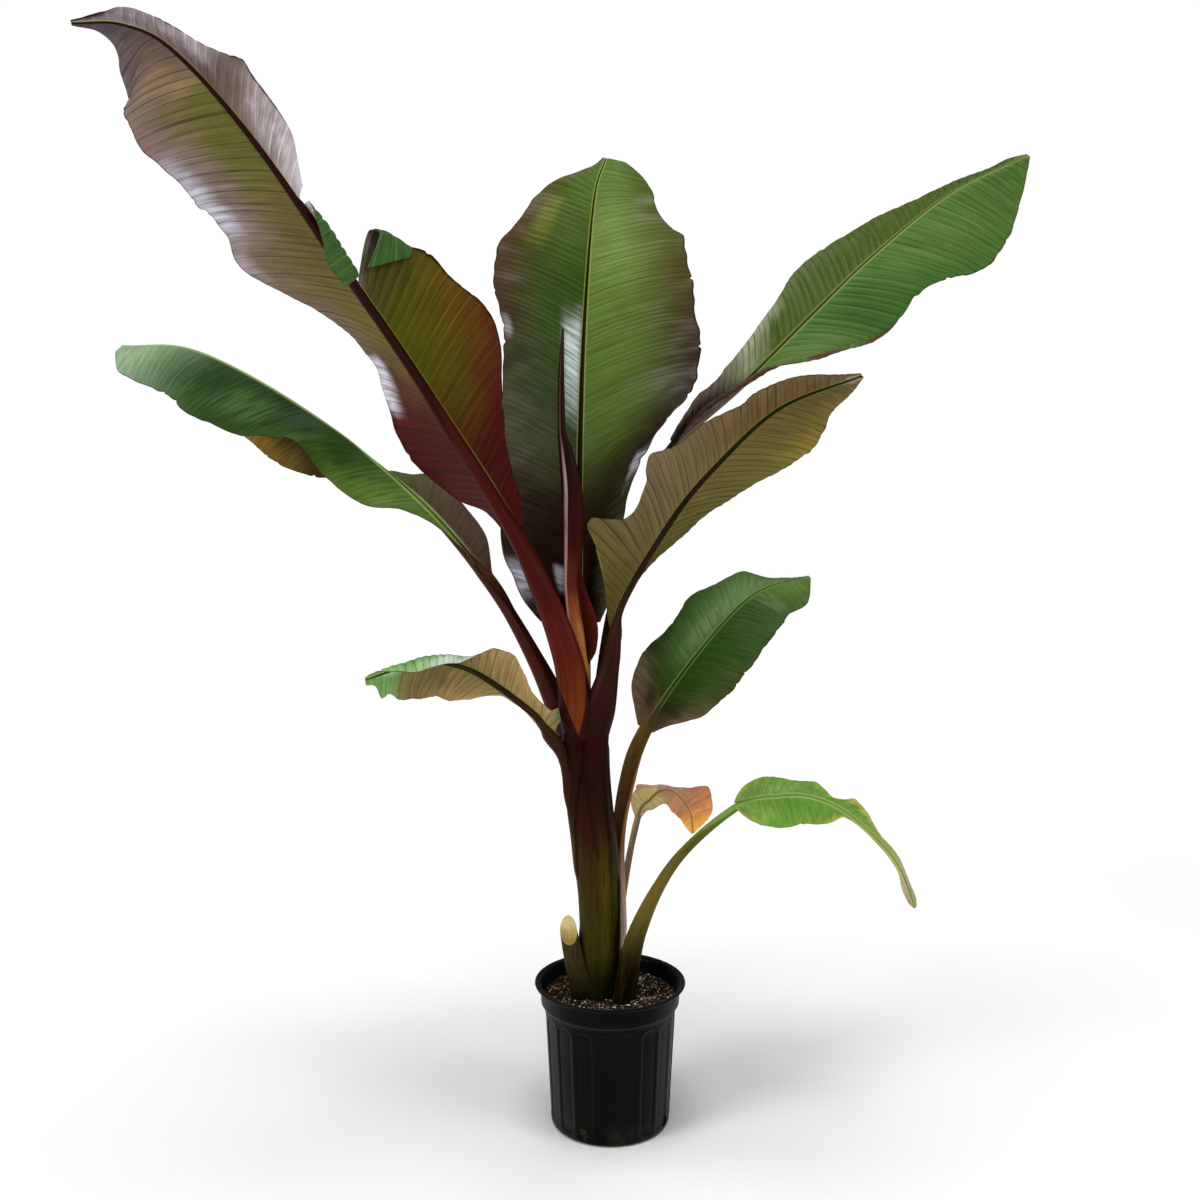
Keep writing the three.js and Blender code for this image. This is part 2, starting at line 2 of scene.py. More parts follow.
# # A red-leaved banana plant in a nursery pot
# The imported model comes first. It is the plant's fixed frame, with every trunk, stalk and blade in its real
# place, so the pieces that are made here only have to follow it.

# %% The imported model
import math
import bpy
import numpy as np
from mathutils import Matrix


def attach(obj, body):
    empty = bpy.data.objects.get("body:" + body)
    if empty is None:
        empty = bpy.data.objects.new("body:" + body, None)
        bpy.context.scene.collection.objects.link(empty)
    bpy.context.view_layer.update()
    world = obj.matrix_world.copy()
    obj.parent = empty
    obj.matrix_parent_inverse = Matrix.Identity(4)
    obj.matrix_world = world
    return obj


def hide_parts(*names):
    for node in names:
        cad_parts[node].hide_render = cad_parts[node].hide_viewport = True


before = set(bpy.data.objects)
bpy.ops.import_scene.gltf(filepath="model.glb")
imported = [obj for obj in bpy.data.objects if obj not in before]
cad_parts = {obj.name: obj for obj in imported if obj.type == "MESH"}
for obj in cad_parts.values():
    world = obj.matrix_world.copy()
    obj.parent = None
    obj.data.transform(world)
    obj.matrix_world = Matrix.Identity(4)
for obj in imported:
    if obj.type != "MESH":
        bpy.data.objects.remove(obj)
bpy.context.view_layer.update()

# %% [markdown]
# ## Camera and light
# The photo was taken from about half the plant's height, tilted down by two degrees. A camera can be set by
# eye, but the pot's rim and foot are circles, and their ovals give its place: a lens of 31.5 mm on a 36 mm
# sensor at 1.86 m. The light is that of a bright room: wide suns from both sides and from above, and a dim
# even sky that the camera sees as white. One small lamp would leave hard shadows under every leaf.

# %% Camera and light
CAMERA_PLACE = (-0.018, -1.858, 0.991)
CAMERA_DOWN = 1.9
CAMERA_LENS = 31.5
CAMERA_SENSOR = 36
BACKDROP_STRENGTH = 1.0
SKY_STRENGTH = 0.14
WHITE = (1, 1, 1, 1)
# Suns: turn in degrees, width of the light in degrees, strength
SUNS = {
    "left_window": ((70, 0, -58), 24, 1.7),
    "right_window": ((75, 0, 64), 24, 0.9),
    "top_soft": ((5, 0, 0), 40, 2.5),
}


def look_through_camera():
    data = bpy.data.cameras.new("photo_camera")
    data.lens = CAMERA_LENS
    data.sensor_width = CAMERA_SENSOR
    camera = bpy.data.objects.new("photo_camera", data)
    camera.location = CAMERA_PLACE
    camera.rotation_euler = (math.radians(90 - CAMERA_DOWN), 0, 0)
    bpy.context.scene.collection.objects.link(camera)
    bpy.context.scene.camera = camera


def hang_sun(name, turn, width, strength):
    data = bpy.data.lights.new(name, "SUN")
    data.angle = math.radians(width)
    data.energy = strength
    lamp = bpy.data.objects.new(name, data)
    lamp.rotation_euler = [math.radians(angle) for angle in turn]
    bpy.context.scene.collection.objects.link(lamp)


def white_sky():
    """A sky that lights the plant softly and looks white behind it."""
    world = bpy.data.worlds.new("white_sky")
    world.use_nodes = True
    nodes, links = world.node_tree.nodes, world.node_tree.links
    soft, backdrop = nodes["Background"], nodes.new("ShaderNodeBackground")
    for background, strength in ((soft, SKY_STRENGTH), (backdrop, BACKDROP_STRENGTH)):
        background.inputs["Color"].default_value = WHITE
        background.inputs["Strength"].default_value = strength
    either = nodes.new("ShaderNodeMixShader")
    links.new(nodes.new("ShaderNodeLightPath").outputs["Is Camera Ray"], either.inputs[0])
    links.new(soft.outputs[0], either.inputs[1])
    links.new(backdrop.outputs[0], either.inputs[2])
    links.new(either.outputs[0], nodes["World Output"].inputs["Surface"])
    bpy.context.scene.world = world


look_through_camera()
white_sky()
for sun_name, sun in SUNS.items():
    hang_sun(sun_name, *sun)
bpy.context.scene.view_settings.view_transform = "Standard"
print("suns", len(SUNS))

# %% [markdown]
# ## The leaf's rule
# A banana leaf is one midline with a width to each side. It could be sculpted by hand, but nine leaves of
# one kind follow one rule. Keys along the midline say how wide each half is, how steeply it folds up from
# the rib and how far it curls on, and smooth curves without overshoot run between the keys. The model's
# solids follow the same rule, so a blade that is made here with many more rows lies where its solid does.

# %% Smooth curves


def keyed(keys, column, share):
    """Smooth value of one column of keys, with no overshoot between them."""
    table = np.array(keys, float)
    x, y = table[:, 0], table[:, column]
    slope = np.diff(y) / np.diff(x)
    tangent = np.concatenate([slope[:1], np.zeros(len(x) - 2), slope[-1:]])
    both = slope[:-1] * slope[1:]
    rising = both > 0
    safe = np.where(rising, slope[:-1] + slope[1:], 1)
    tangent[1:-1] = np.where(rising, 2 * both / safe, 0)
    at = np.clip(share, x[0], x[-1])
    i = np.clip(np.searchsorted(x, at, side="right") - 1, 0, len(x) - 2)
    span = x[i + 1] - x[i]
    u = (at - x[i]) / span
    start = (1 + 2 * u) * (1 - u) ** 2 * y[i] + u * (1 - u) ** 2 * span * tangent[i]
    end = u * u * (3 - 2 * u) * y[i + 1] + u * u * (u - 1) * span * tangent[i + 1]
    return start + end


def smooth(value, low, high):
    """0 below low, 1 above high, with soft ends between."""
    u = np.clip((np.asarray(value, float) - low) / (high - low), 0, 1)
    return u * u * (3 - 2 * u)


print("half way up an eased step:", smooth(0.5, 0, 1))

# %% Midlines
LINE_STEPS = 1200
LEAST_CURL = 1e-4


def line_through(points):
    """A smooth line through points, as many places and the run of length up to each."""
    p = np.array(points, float)
    ends = np.vstack([2 * p[0] - p[1], p, 2 * p[-1] - p[-2]])
    t = np.linspace(0, len(p) - 1, LINE_STEPS + 1)
    i = np.minimum(t.astype(int), len(p) - 2)
    u = (t - i)[:, None]
    a, b, c, d = (ends[i + k] for k in range(4))
    curve = 2 * b + (c - a) * u + (2 * a - 5 * b + 4 * c - d) * u ** 2 + (3 * b - a - 3 * c + d) * u ** 3
    places = curve / 2
    steps = np.linalg.norm(np.diff(places, axis=0), axis=1)
    return places, np.concatenate([[0], np.cumsum(steps)])


def midline(leaf):
    """The leaf's line, the way on along it, its length and the share of it that is stalk."""
    places, run = line_through(leaf["path"])
    stalk_end = round(LINE_STEPS * leaf["blade_from"] / (len(leaf["path"]) - 1))
    ahead = np.gradient(places, run, axis=0)
    ahead /= np.linalg.norm(ahead, axis=1)[:, None]
    return {"places": places, "ahead": ahead, "run": run / run[-1], "length": run[-1],
            "base": run[stalk_end] / run[-1]}


def frame_at(leaf, line, share):
    """Place, right-hand side and upper side at shares of the midline."""
    at = np.clip(share, 0, 1)
    pick = [np.stack([np.interp(at, line["run"], line[key][:, k]) for k in range(3)], -1)
            for key in ("places", "ahead")]
    place, ahead = pick[0], pick[1] / np.linalg.norm(pick[1], axis=-1, keepdims=True)
    heading = math.radians(leaf["heading"])
    level = np.array([math.sin(heading), -math.cos(heading), 0])
    side = level - ahead * (ahead @ level)[..., None]
    side /= np.linalg.norm(side, axis=-1, keepdims=True)
    upper = np.cross(side, ahead)
    blade = (at - line["base"]) / (1 - line["base"])
    full = np.radians(keyed(leaf["roll"], 1, np.maximum(blade, 0)))
    roll = np.where(blade < 0, full * at / line["base"], full)[..., None]
    return place, side * np.cos(roll) + upper * np.sin(roll), upper * np.cos(roll) - side * np.sin(roll)


def bend(fold, curl, across):
    """Across and up shares of a strip that leaves the rib at an angle and turns on by a curl."""
    turn = np.where(np.abs(curl) < LEAST_CURL, LEAST_CURL, curl)
    out = (np.sin(fold + turn * across) - np.sin(fold)) / turn
    up = (np.cos(fold) - np.cos(fold + turn * across)) / turn
    return out, up


print("midlines are cut into", LINE_STEPS, "steps")

# %% [markdown]
# ## The leaves' measures
# Nine leaves in millimetres and degrees, close to those in the model's source. They could be nine meshes,
# but a list of keys can be read and changed. heading is the compass way that a leaf leans, path is its
# midline, and its point number blade_from is where the stalk ends. root is where the stalk starts inside the
# trunk or the mix. flare is how much its base swells, and the shares of the stalk between which that fades.
# rib is the rib's width, pitch the distance of the pleats, and sweep how far the veins run on towards the
# tip. Keys are [share, width, depth] for a stalk, [share, turn] for the blade's roll and [share, width,
# fold, curl] for each half of it. A half can have sweep keys of its own, a turned margin as a hem with keys
# [share, length, turn], and tears as gaps between two shares.

# %% Measures of the nine leaves
LEAVES = dict(
    front_left_leaf=dict(
        heading=215, sweep=0.075, blade_from=2, root=(-50, -8, 590), rib=30, pitch=15, flare=(0.5, 0.1, 1),
        path=[[-62, -18, 690], [-80, -33, 835], [-156, -80, 1028], [-280, -160, 1239], [-394, -250, 1420],
              [-507, -350, 1591], [-590, -420, 1682], [-645, -452, 1702], [-700, -480, 1690]],
        stalk=[[0, 40, 28], [0.13, 54, 32], [0.22, 50, 31], [0.35, 46, 30], [0.65, 44, 30], [1, 36, 26]],
        roll=[[0, -35], [0.35, -45], [0.6, -75], [1, -75]],
        right=[
            [0, 12, 35, 0], [0.05, 46, 33, 0], [0.08, 108, 33, 0], [0.12, 143, 32, 0], [0.16, 154, 33, 0],
            [0.2, 150, 36, 0], [0.25, 134, 42, 0], [0.3, 104, 46, 0], [0.35, 93, 45, 0], [0.4, 96, 42, 0],
            [0.45, 109, 36, 0], [0.5, 130, 31, 0], [0.53, 136, 29, 0], [0.57, 120, 27, 0], [0.6, 119, 26, 0],
            [0.63, 126, 25, 0], [0.66, 126, 24, 0], [0.75, 130, 20, 0], [0.8, 120, 18, 0],
            [0.82, 113, 17, 0], [0.84, 105, 16, 0], [0.86, 97, 15, 0], [0.88, 84, 14, 0], [0.9, 60, 13, 0],
            [0.92, 31, 12, 0], [0.94, 17, 10, 0], [0.96, 9, 10, 0], [1, 3, 10, 0]],
        right_sweep=[
            [0, 0.075], [0.75, 0.075], [0.8, 0.078], [0.84, 0.09], [0.87, 0.104], [0.9, 0.097], [1, 0.09]],
        left=[[0, 12, 35, 0], [0.05, 40, 35, -10], [0.08, 48, 35, -15], [0.12, 64, 32, -20],
              [0.16, 90, 30, -20], [0.2, 117, 30, -20], [0.25, 146, 30, -20], [0.3, 153, 30, -10],
              [0.35, 141, 30, -4], [0.4, 137, 30, 0], [0.44, 114, 30, 0], [0.486, 87, 30, 0],
              [0.496, 11, -20, 0], [0.56, 11, -20, 0], [0.62, 8, -20, 0], [0.63, 34, 45, 0],
              [0.65, 63, 45, 0], [0.68, 95, 45, 0], [0.7, 98, 45, 0], [0.73, 102, 45, 0], [0.76, 112, 45, 0],
              [0.78, 102, 45, 0], [0.8, 83, 45, 0], [0.82, 63, 45, 0], [0.85, 48, 45, 0], [0.9, 40, 45, 0],
              [0.93, 39, 45, 0], [0.96, 16, 45, 0], [1, 3, 40, 0]],
        left_sweep=[
            [0, 0.075], [0.25, 0.075], [0.35, 0.065], [0.44, 0.055], [0.486, 0.052], [0.496, 0], [0.62, 0],
            [0.63, 0.015], [0.7, 0.045], [0.74, 0.065], [0.8, 0.045], [0.85, 0.05], [0.9, 0.025],
            [0.93, 0.005], [1, -0.02]],
        left_hem=[[0, 0, -165], [0.435, 0, -168], [0.45, 12, -170], [0.468, 44, -172], [0.486, 78, -172],
                  [0.496, 38, -155], [0.53, 42, -155], [0.57, 30, -155], [0.62, 8, -155], [0.63, 0, -155],
                  [1, 0, -155]],
        left_tears=[(0.487, 0.495), (0.621, 0.629)]),
    back_leaf=dict(
        heading=90, sweep=0.08, blade_from=2, root=(-47, 8, 590), rib=17, flare=(0.1, 0, 0.5),
        path=[[-50, 24, 690], [-52, 40, 819], [-54, 50, 880], [-54, 75, 1001], [-55, 145, 1238],
              [-48, 225, 1479], [-30, 305, 1734], [-6, 337, 1830]],
        stalk=[[0, 34, 26], [0.6, 38, 27], [1, 34, 24]],
        roll=[[0, 0], [1, 0]],
        right=[[0, 66, 55, 0], [0.05, 98, 55, 0], [0.15, 127, 52, 0], [0.25, 172, 42, 0],
               [0.36, 214, 25, -15], [0.46, 229, 14, -20], [0.6, 216, 10, -20], [0.74, 193, 8, -20],
               [0.775, 186, 7, -20], [0.79, 162, 7, -18], [0.85, 131, 5, -15], [0.9, 120, 1, -12],
               [0.93, 116, 0, -10], [0.96, 100, 0, -6], [0.98, 78, 0, -3], [1, 42, 0, 0]],
        left=[[0, 92, 42, 0], [0.05, 138, 36, 0], [0.1, 152, 28, -10], [0.3, 155, 18, -20],
              [0.45, 153, 14, -20], [0.55, 168, 11, -20], [0.65, 189, 9, -20], [0.7, 187, 8, -20],
              [0.79, 147, 5, -16], [0.85, 127, 2, -13], [0.88, 110, 0, -11], [0.9, 92, 0, -10],
              [0.93, 50, 0, -7], [0.96, 22, 0, -4], [1, 6, 0, 0]]),
    back_right_leaf=dict(
        heading=15, sweep=0.08, blade_from=3, root=(-40, 2, 590), rib=10, pitch=18, flare=(0.15, 0, 0.5),
        path=[[-26, 9, 690], [14, 60, 927], [76, 85, 1108], [122, 105, 1212], [254, 140, 1333],
              [390, 185, 1473], [524, 225, 1604], [685, 270, 1736], [850, 300, 1822]],
        stalk=[[0, 32, 26], [0.3, 36, 26], [1, 26, 20]],
        roll=[[0, -40], [0.3, -50], [1, -50]],
        right=[[0, 14, 60, 0], [0.08, 38, 55, 0], [0.17, 56, 40, 0], [0.27, 82, 15, -30], [0.4, 126, -15, 0],
               [0.52, 122, -15, 0], [0.65, 168, -15, 0], [0.75, 156, -15, 0], [0.86, 106, -15, 0],
               [1, 5, -15, 0]],
        right_hem=[[0, 0, 160], [0.03, 10, 160], [0.1, 26, 165], [0.2, 34, 165], [0.3, 38, 165],
                   [0.38, 30, 165], [0.44, 12, 165], [0.48, 0, 160], [1, 0, 160]],
        left=[[0, 20, 60, 40], [0.08, 54, 60, 40], [0.17, 50, 40, 0], [0.3, 76, 0, 0], [0.44, 122, -15, 0],
              [0.6, 112, -25, 0], [0.75, 96, -36, 0], [0.86, 60, -36, 0], [1, 4, -15, 0]]),
    front_right_leaf=dict(
        heading=-40, sweep=0.08, blade_from=2, root=(-44, -8, 590), rib=14, pitch=15, flare=(0.5, 0.15, 0.8),
        path=[[-24, -20, 690], [4, -40, 828], [10, -45, 866], [24, -57, 930], [103, -125, 1068],
              [171, -182, 1152], [255, -258, 1228], [356, -350, 1261]],
        stalk=[[0, 38, 28], [0.3, 45, 30], [1, 30, 24]],
        roll=[[0, 30], [0.3, 40], [1, 40]],
        right=[
            [0, 2, 20, 0], [0.02, 12, 20, 0], [0.068, 30, 20, 0], [0.13, 68, 20, 0], [0.162, 93, 20, 0],
            [0.19, 118, 20, 0], [0.204, 118, 20, 0], [0.22, 94, 22, 0], [0.24, 70, 23, 0], [0.27, 61, 25, 0],
            [0.312, 66, 25, 0], [0.34, 73, 25, 0], [0.36, 86, 25, 0], [0.388, 93, 25, 0],
            [0.42, 80, 23, -11], [0.463, 71, 20, -25], [0.54, 70, 17, -41], [0.584, 66, 15, -50],
            [0.62, 57, 14, -51], [0.66, 53, 12, -53], [0.724, 57, 10, -55], [0.82, 52, 7, -55],
            [0.862, 47, 5, -55], [0.9, 29, 5, -40], [0.94, 15, 5, -24], [1, 4, 5, 0]],
        left=[[0, 3, 40, 0], [0.1, 6, 40, 0], [0.162, 16, 40, 0], [0.256, 52, 35, 0], [0.3, 63, 33, 0],
              [0.35, 70, 30, 0], [0.4, 83, 27, 0], [0.5, 100, 21, 0], [0.58, 110, 16, 0],
              [0.631, 111, 14, 0], [0.68, 106, 13, 0], [0.72, 96, 12, 0], [0.76, 83, 11, 0],
              [0.816, 56, 10, 0], [0.86, 44, 10, 0], [0.94, 23, 8, 0], [1, 4, 5, 0]]),
    left_leaf=dict(
        heading=170, sweep=0.07, blade_from=2, root=(-54, 2, 590), rib=9, flare=(0.45, 0.2, 1),
        path=[[-73, 8, 690], [-130, 14, 818], [-221, 30, 966], [-366, 50, 1129], [-558, 75, 1280],
              [-766, 105, 1390], [-910, 120, 1402]],
        stalk=[[0, 40, 29], [0.1, 47, 31], [0.25, 42, 28], [0.5, 32, 24], [1, 28, 21]],
        roll=[[0, 0], [1, 0]],
        right=[[0, 12, 75, 0], [0.07, 50, 65, 0], [0.2, 64, 40, 0], [0.28, 76, 0, -20],
               [0.38, 112, -50, -20], [0.5, 126, -70, -10], [0.62, 112, -62, -20], [0.8, 104, -50, -20],
               [0.93, 84, -40, -20], [1, 30, -30, 0]],
        left=[[0, 5, -10, 0], [0.1, 12, -10, 0], [0.17, 46, -30, 0], [0.25, 84, -45, -20],
              [0.33, 90, -45, -20], [0.42, 90, -22, -20], [0.49, 100, -40, -20], [0.57, 116, -55, -20],
              [0.68, 124, -55, -20], [0.79, 106, -55, -20], [0.91, 94, -50, -20], [0.965, 78, -45, -10],
              [1, 30, -40, 0]]),
    low_left_leaf=dict(
        heading=200, sweep=0.05, blade_from=2, root=(-38, -8, 480), rib=15, pitch=14, flare=(0.35, 0, 0.6),
        path=[[-60, -18, 570], [-77, -27, 643], [-105, -42, 693], [-139, -60, 740], [-229, -105, 812],
              [-297, -140, 832], [-341, -165, 825], [-392, -190, 808]],
        stalk=[[0, 26, 28], [0.4, 30, 34], [0.75, 29, 32], [1, 25, 22]],
        roll=[[0, -80], [0.58, -80], [0.79, -55], [1, -40]],
        right=[[0, 6, 20, 0], [0.163, 7, 20, 0], [0.25, 10, 20, 0], [0.39, 54, 10, 0], [0.46, 63, 5, 0],
               [0.58, 60, 0, 0], [0.71, 76, 0, 0], [0.82, 74, 0, 0], [0.88, 60, 0, 0], [0.92, 62, 0, 0],
               [0.945, 26, 0, 0], [0.97, 16, 0, 0], [1, 12, 0, 0]],
        left=[[0, 6, 20, 0], [0.02, 26, 20, 0], [0.035, 47, 20, 0], [0.06, 46, 20, 0], [0.075, 29, 20, 0],
              [0.11, 28, 20, 0], [0.163, 30, 20, 0], [0.25, 48, 20, 0], [0.33, 60, 12, 0], [0.4, 56, 5, -20],
              [0.48, 50, 0, -70], [0.58, 50, -10, -120], [0.75, 46, -10, -120], [0.87, 40, -10, -60],
              [0.94, 22, -10, -20], [1, 6, 0, 0]]),
    right_leaf=dict(
        heading=15, sweep=0.08, blade_from=3, root=(4, 14, 240), rib=8, flare=(0.55, 0.15, 0.6),
        path=[[20, 24, 330], [15, 22, 480], [33, 24, 600], [65, 32, 695], [160, 68, 826], [268, 104, 935],
              [379, 135, 970]],
        stalk=[[0, 18, 14], [0.35, 25, 18], [0.75, 34, 23], [1, 26, 18]],
        roll=[[0, -45], [1, -50]],
        right=[[0, 15, 0, 0], [0.12, 78, 0, 0], [0.2, 97, 5, 0], [0.3, 104, 8, 0], [0.5, 95, 5, 0],
               [0.65, 84, 0, 0], [0.8, 64, -5, 0], [0.9, 56, -5, 0], [1, 6, -5, 0]],
        left=[[0, 18, 10, 0], [0.12, 72, 15, 0], [0.22, 84, 10, 0], [0.34, 74, 10, 0], [0.46, 84, 5, 0],
              [0.6, 68, 0, -10], [0.7, 64, -10, -10], [0.8, 50, -30, -10], [1, 5, -40, 0]]),
    withered_leaf=dict(
        heading=20, sweep=0.04, blade_from=2, root=(2, 18, 232), rib=4, flare=(0.2, 0, 0.5),
        path=[[14, 30, 290], [25, 42, 390], [52, 70, 525], [74, 80, 555], [97, 88, 571], [124, 96, 563],
              [150, 104, 528], [157, 108, 485]],
        stalk=[[0, 14, 12], [0.5, 15, 13], [1, 12, 10]],
        roll=[[0, -60], [0.45, -60], [0.7, -85], [1, -85]],
        right=[[0, 6, 0, 0], [0.2, 20, 0, 0], [0.35, 28, 0, 0], [0.5, 32, 0, 0], [0.7, 26, 0, 0],
               [0.85, 19, 0, 0], [1, 3, 0, 0]],
        left=[[0, 6, 0, 0], [0.2, 36, 0, 0], [0.3, 14, 0, 0], [0.42, 9, 0, 0], [0.55, 24, 0, 0],
              [0.67, 57, 0, 0], [0.8, 50, 0, 0], [0.9, 32, 0, 0], [1, 3, 0, 0]]),
    low_right_leaf=dict(
        heading=-20, sweep=0.05, blade_from=3, root=(14, -16, 190), rib=6, flare=(0.45, 0.2, 0.8),
        path=[[24, -24, 228], [47, -31, 350], [111, -51, 477], [214, -82, 579], [283, -104, 603],
              [343, -121, 603], [402, -140, 574], [465, -158, 508], [493, -172, 435]],
        stalk=[[0, 40, 28], [0.2, 38, 27], [0.5, 28, 22], [1, 18, 14]],
        roll=[[0, -10], [0.5, -20], [1, -20]],
        right=[[0, 8, 0, 0], [0.03, 34, -20, 0], [0.06, 44, -35, 0], [0.1, 52, -38, 0], [0.18, 55, -42, 0],
               [0.3, 46, -45, 0], [0.38, 38, -57, 0], [0.42, 29, -63, 0], [0.46, 9, -69, 0],
               [0.54, 6, -72, 0], [0.8, 6, -60, 0], [0.9, 10, -40, 0], [0.96, 9, -34, 0], [1, 3, -30, 0]],
        left=[[0, 10, 30, 0], [0.03, 28, 28, 0], [0.06, 43, 25, 0], [0.1, 50, 22, 0], [0.14, 48, 20, 0],
              [0.24, 36, 14, 0], [0.3, 40, 10, 0], [0.34, 28, 10, 0], [0.38, 17, 7, 0], [0.42, 28, 1, 0],
              [0.46, 48, 0, 0], [0.54, 48, -8, 0], [0.58, 36, -10, 0], [0.62, 24, -10, 0], [0.7, 17, -10, 0],
              [0.8, 18, -10, 0], [0.88, 19, -10, 0], [0.95, 15, -6, 0], [1, 3, 0, 0]]),
)
LINES = {name: midline(leaf) for name, leaf in LEAVES.items()}
for leaf_name, line in LINES.items():
    stalk_length = round(line["length"] * line["base"])
    print(leaf_name, "is", round(line["length"]), "mm long, stalk", stalk_length, "mm")

# %% [markdown]
# ## Blades
# A blade is two thin halves on either side of the rib. The veins run from the rib to the margin and a little
# on towards the tip, and the blade is pleated along them. A bump map would leave the outline smooth, so the
# pleats are real: a script lays the smooth halves, and a geometry tree then lifts the pleats, waves the
# margin and gives the sheet its thickness.

# %% Meshes from places
MM = 0.001


def mesh_of(name, places, faces, **values):
    """A mesh in metres from places in millimetres. Each of values is one number for each of the places."""
    mesh = bpy.data.meshes.new(name)
    mesh.from_pydata((np.asarray(places) * MM).tolist(), [], faces, shade_flat=False)
    for key, numbers in values.items():
        mesh.attributes.new(key, "FLOAT", "POINT").data.foreach_set("value", np.ravel(numbers).astype("f4"))
    mesh.validate()
    return mesh


def grid_faces(rows, columns, wrap=False):
    """Quads between the points of a grid that is stored row by row."""
    across = columns if wrap else columns - 1
    r, c = np.meshgrid(np.arange(rows - 1), np.arange(across), indexing="ij")
    here = r * columns + c
    beside = r * columns + (c + 1) % columns
    quads = np.stack([here, beside, beside + columns, here + columns], -1)
    return quads.reshape(-1, 4).tolist()


print("one unit of the measures is", MM, "m")

# %% Rib and margin of a blade
RIB_TIP_WIDTH = 2.5
RIB_SETTLE = 0.07
# Nicks in each margin, and the least and most of their place along it, depth and reach
NICKS = 5
NICK_LEAST = (0.15, 0.01, 0.002)
NICK_MOST = (0.92, 0.035, 0.006)
# A slow wave is a sum of these tones, and its seed shifts it
WANDER_TONES = (1, 2.3, 3.7)
WANDER_SUM = 1.7
WANDER_SHIFT = 0.37
MARGIN_WANDER = 0.018
MARGIN_TURNS = 7


def rib_half_width(leaf, blade):
    """Half the rib's width: the stalk's width settles to the rib's own, which tapers to the tip."""
    rib = RIB_TIP_WIDTH + (leaf["rib"] - RIB_TIP_WIDTH) * (1 - blade)
    return (rib + (leaf["stalk"][-1][1] - leaf["rib"]) * (1 - smooth(blade, 0, RIB_SETTLE))) / 2


def wander(share, seed, turns):
    """A slow wave between about -1 and 1 along a leaf that never quite repeats."""
    phase = 2 * math.pi * (turns * share + WANDER_SHIFT * seed)
    return sum(np.sin(tone * phase) / tone for tone in WANDER_TONES) / WANDER_SUM


def ragged(row, seed):
    """The margin's share of its width, with a slow wander and a few small nicks."""
    dice = np.random.default_rng(seed)
    share = 1 + MARGIN_WANDER * wander(row, seed, MARGIN_TURNS)
    for place, depth, reach in dice.uniform(NICK_LEAST, NICK_MOST, (NICKS, 3)):
        share = share - depth * np.exp(-((row - place) / reach) ** 2)
    return share


print("nicks in each margin", NICKS)

# %% One half of a blade
BLADE_COLUMNS = 26
RIB_MOST = 0.98
BLADE_INTO_RIB = 0.92
VEIN_CURVE = 1.25
HEM_COLUMNS = 14
HEM_RADIUS = 7.0
# Share of the veins' way on that a hem falls back, and the length below which a hem falls back less
HEM_BACK = 0.75
SHORT_HEM = 25.0


def half_blade(leaf, line, side, rows, seed):
    """Places, and how far along, across and away from the rib they are, on one half of a blade."""
    sign = 1 if side == "right" else -1
    row = np.linspace(0, 1, rows)[:, None]
    spread = (1 - np.cos(np.linspace(0, math.pi, BLADE_COLUMNS))) / 2
    spread = (spread + np.linspace(0, 1, BLADE_COLUMNS))[None, :] / 2
    width = keyed(leaf[side], 1, row) * ragged(row, seed)
    fold, curl = (np.radians(keyed(leaf[side], column, row)) for column in (2, 3))
    inner = np.minimum(rib_half_width(leaf, row) * BLADE_INTO_RIB, width * RIB_MOST)
    reach = inner + (width - inner) * spread
    out, up = (width * part for part in bend(fold, curl, reach / width))
    shift = 1 - (1 - spread + 0 * row) ** VEIN_CURVE
    if side + "_hem" in leaf:
        hem, turn = keyed(leaf[side + "_hem"], 1, row), np.radians(keyed(leaf[side + "_hem"], 2, row))
        step = hem / HEM_COLUMNS
        run = step * np.arange(1, HEM_COLUMNS + 1)[None, :]
        angle = fold + curl + np.sign(turn) * np.minimum(run / HEM_RADIUS, np.abs(turn))
        out = np.concatenate([out, out[:, -1:] + np.cumsum(np.cos(angle) * step, 1)], 1)
        up = np.concatenate([up, up[:, -1:] + np.cumsum(np.sin(angle) * step, 1)], 1)
        reach = np.concatenate([reach, width + run], 1)
        shift = np.concatenate([shift, 1 - HEM_BACK * run / np.maximum(hem, SHORT_HEM)], 1)
    sweep = keyed(leaf[side + "_sweep"], 1, row) if side + "_sweep" in leaf else leaf["sweep"]
    swept = row + 4 * sweep * row * (1 - row) * shift
    place, right, top = frame_at(leaf, line, line["base"] + (1 - line["base"]) * swept)
    places = place + right * (sign * out)[..., None] + top * up[..., None]
    return places, row + 0 * reach, sign * reach / reach[:, -1:], (reach - inner) * MM


print("points from rib to margin", BLADE_COLUMNS)

# %% Both halves of a blade
PLEAT_PITCH = 12.5
ROWS_PER_PLEAT = 6
VEIN_WANDER = 0.3
PLEATS_PER_TURN = 6
HALVES_DIFFER = 0.4


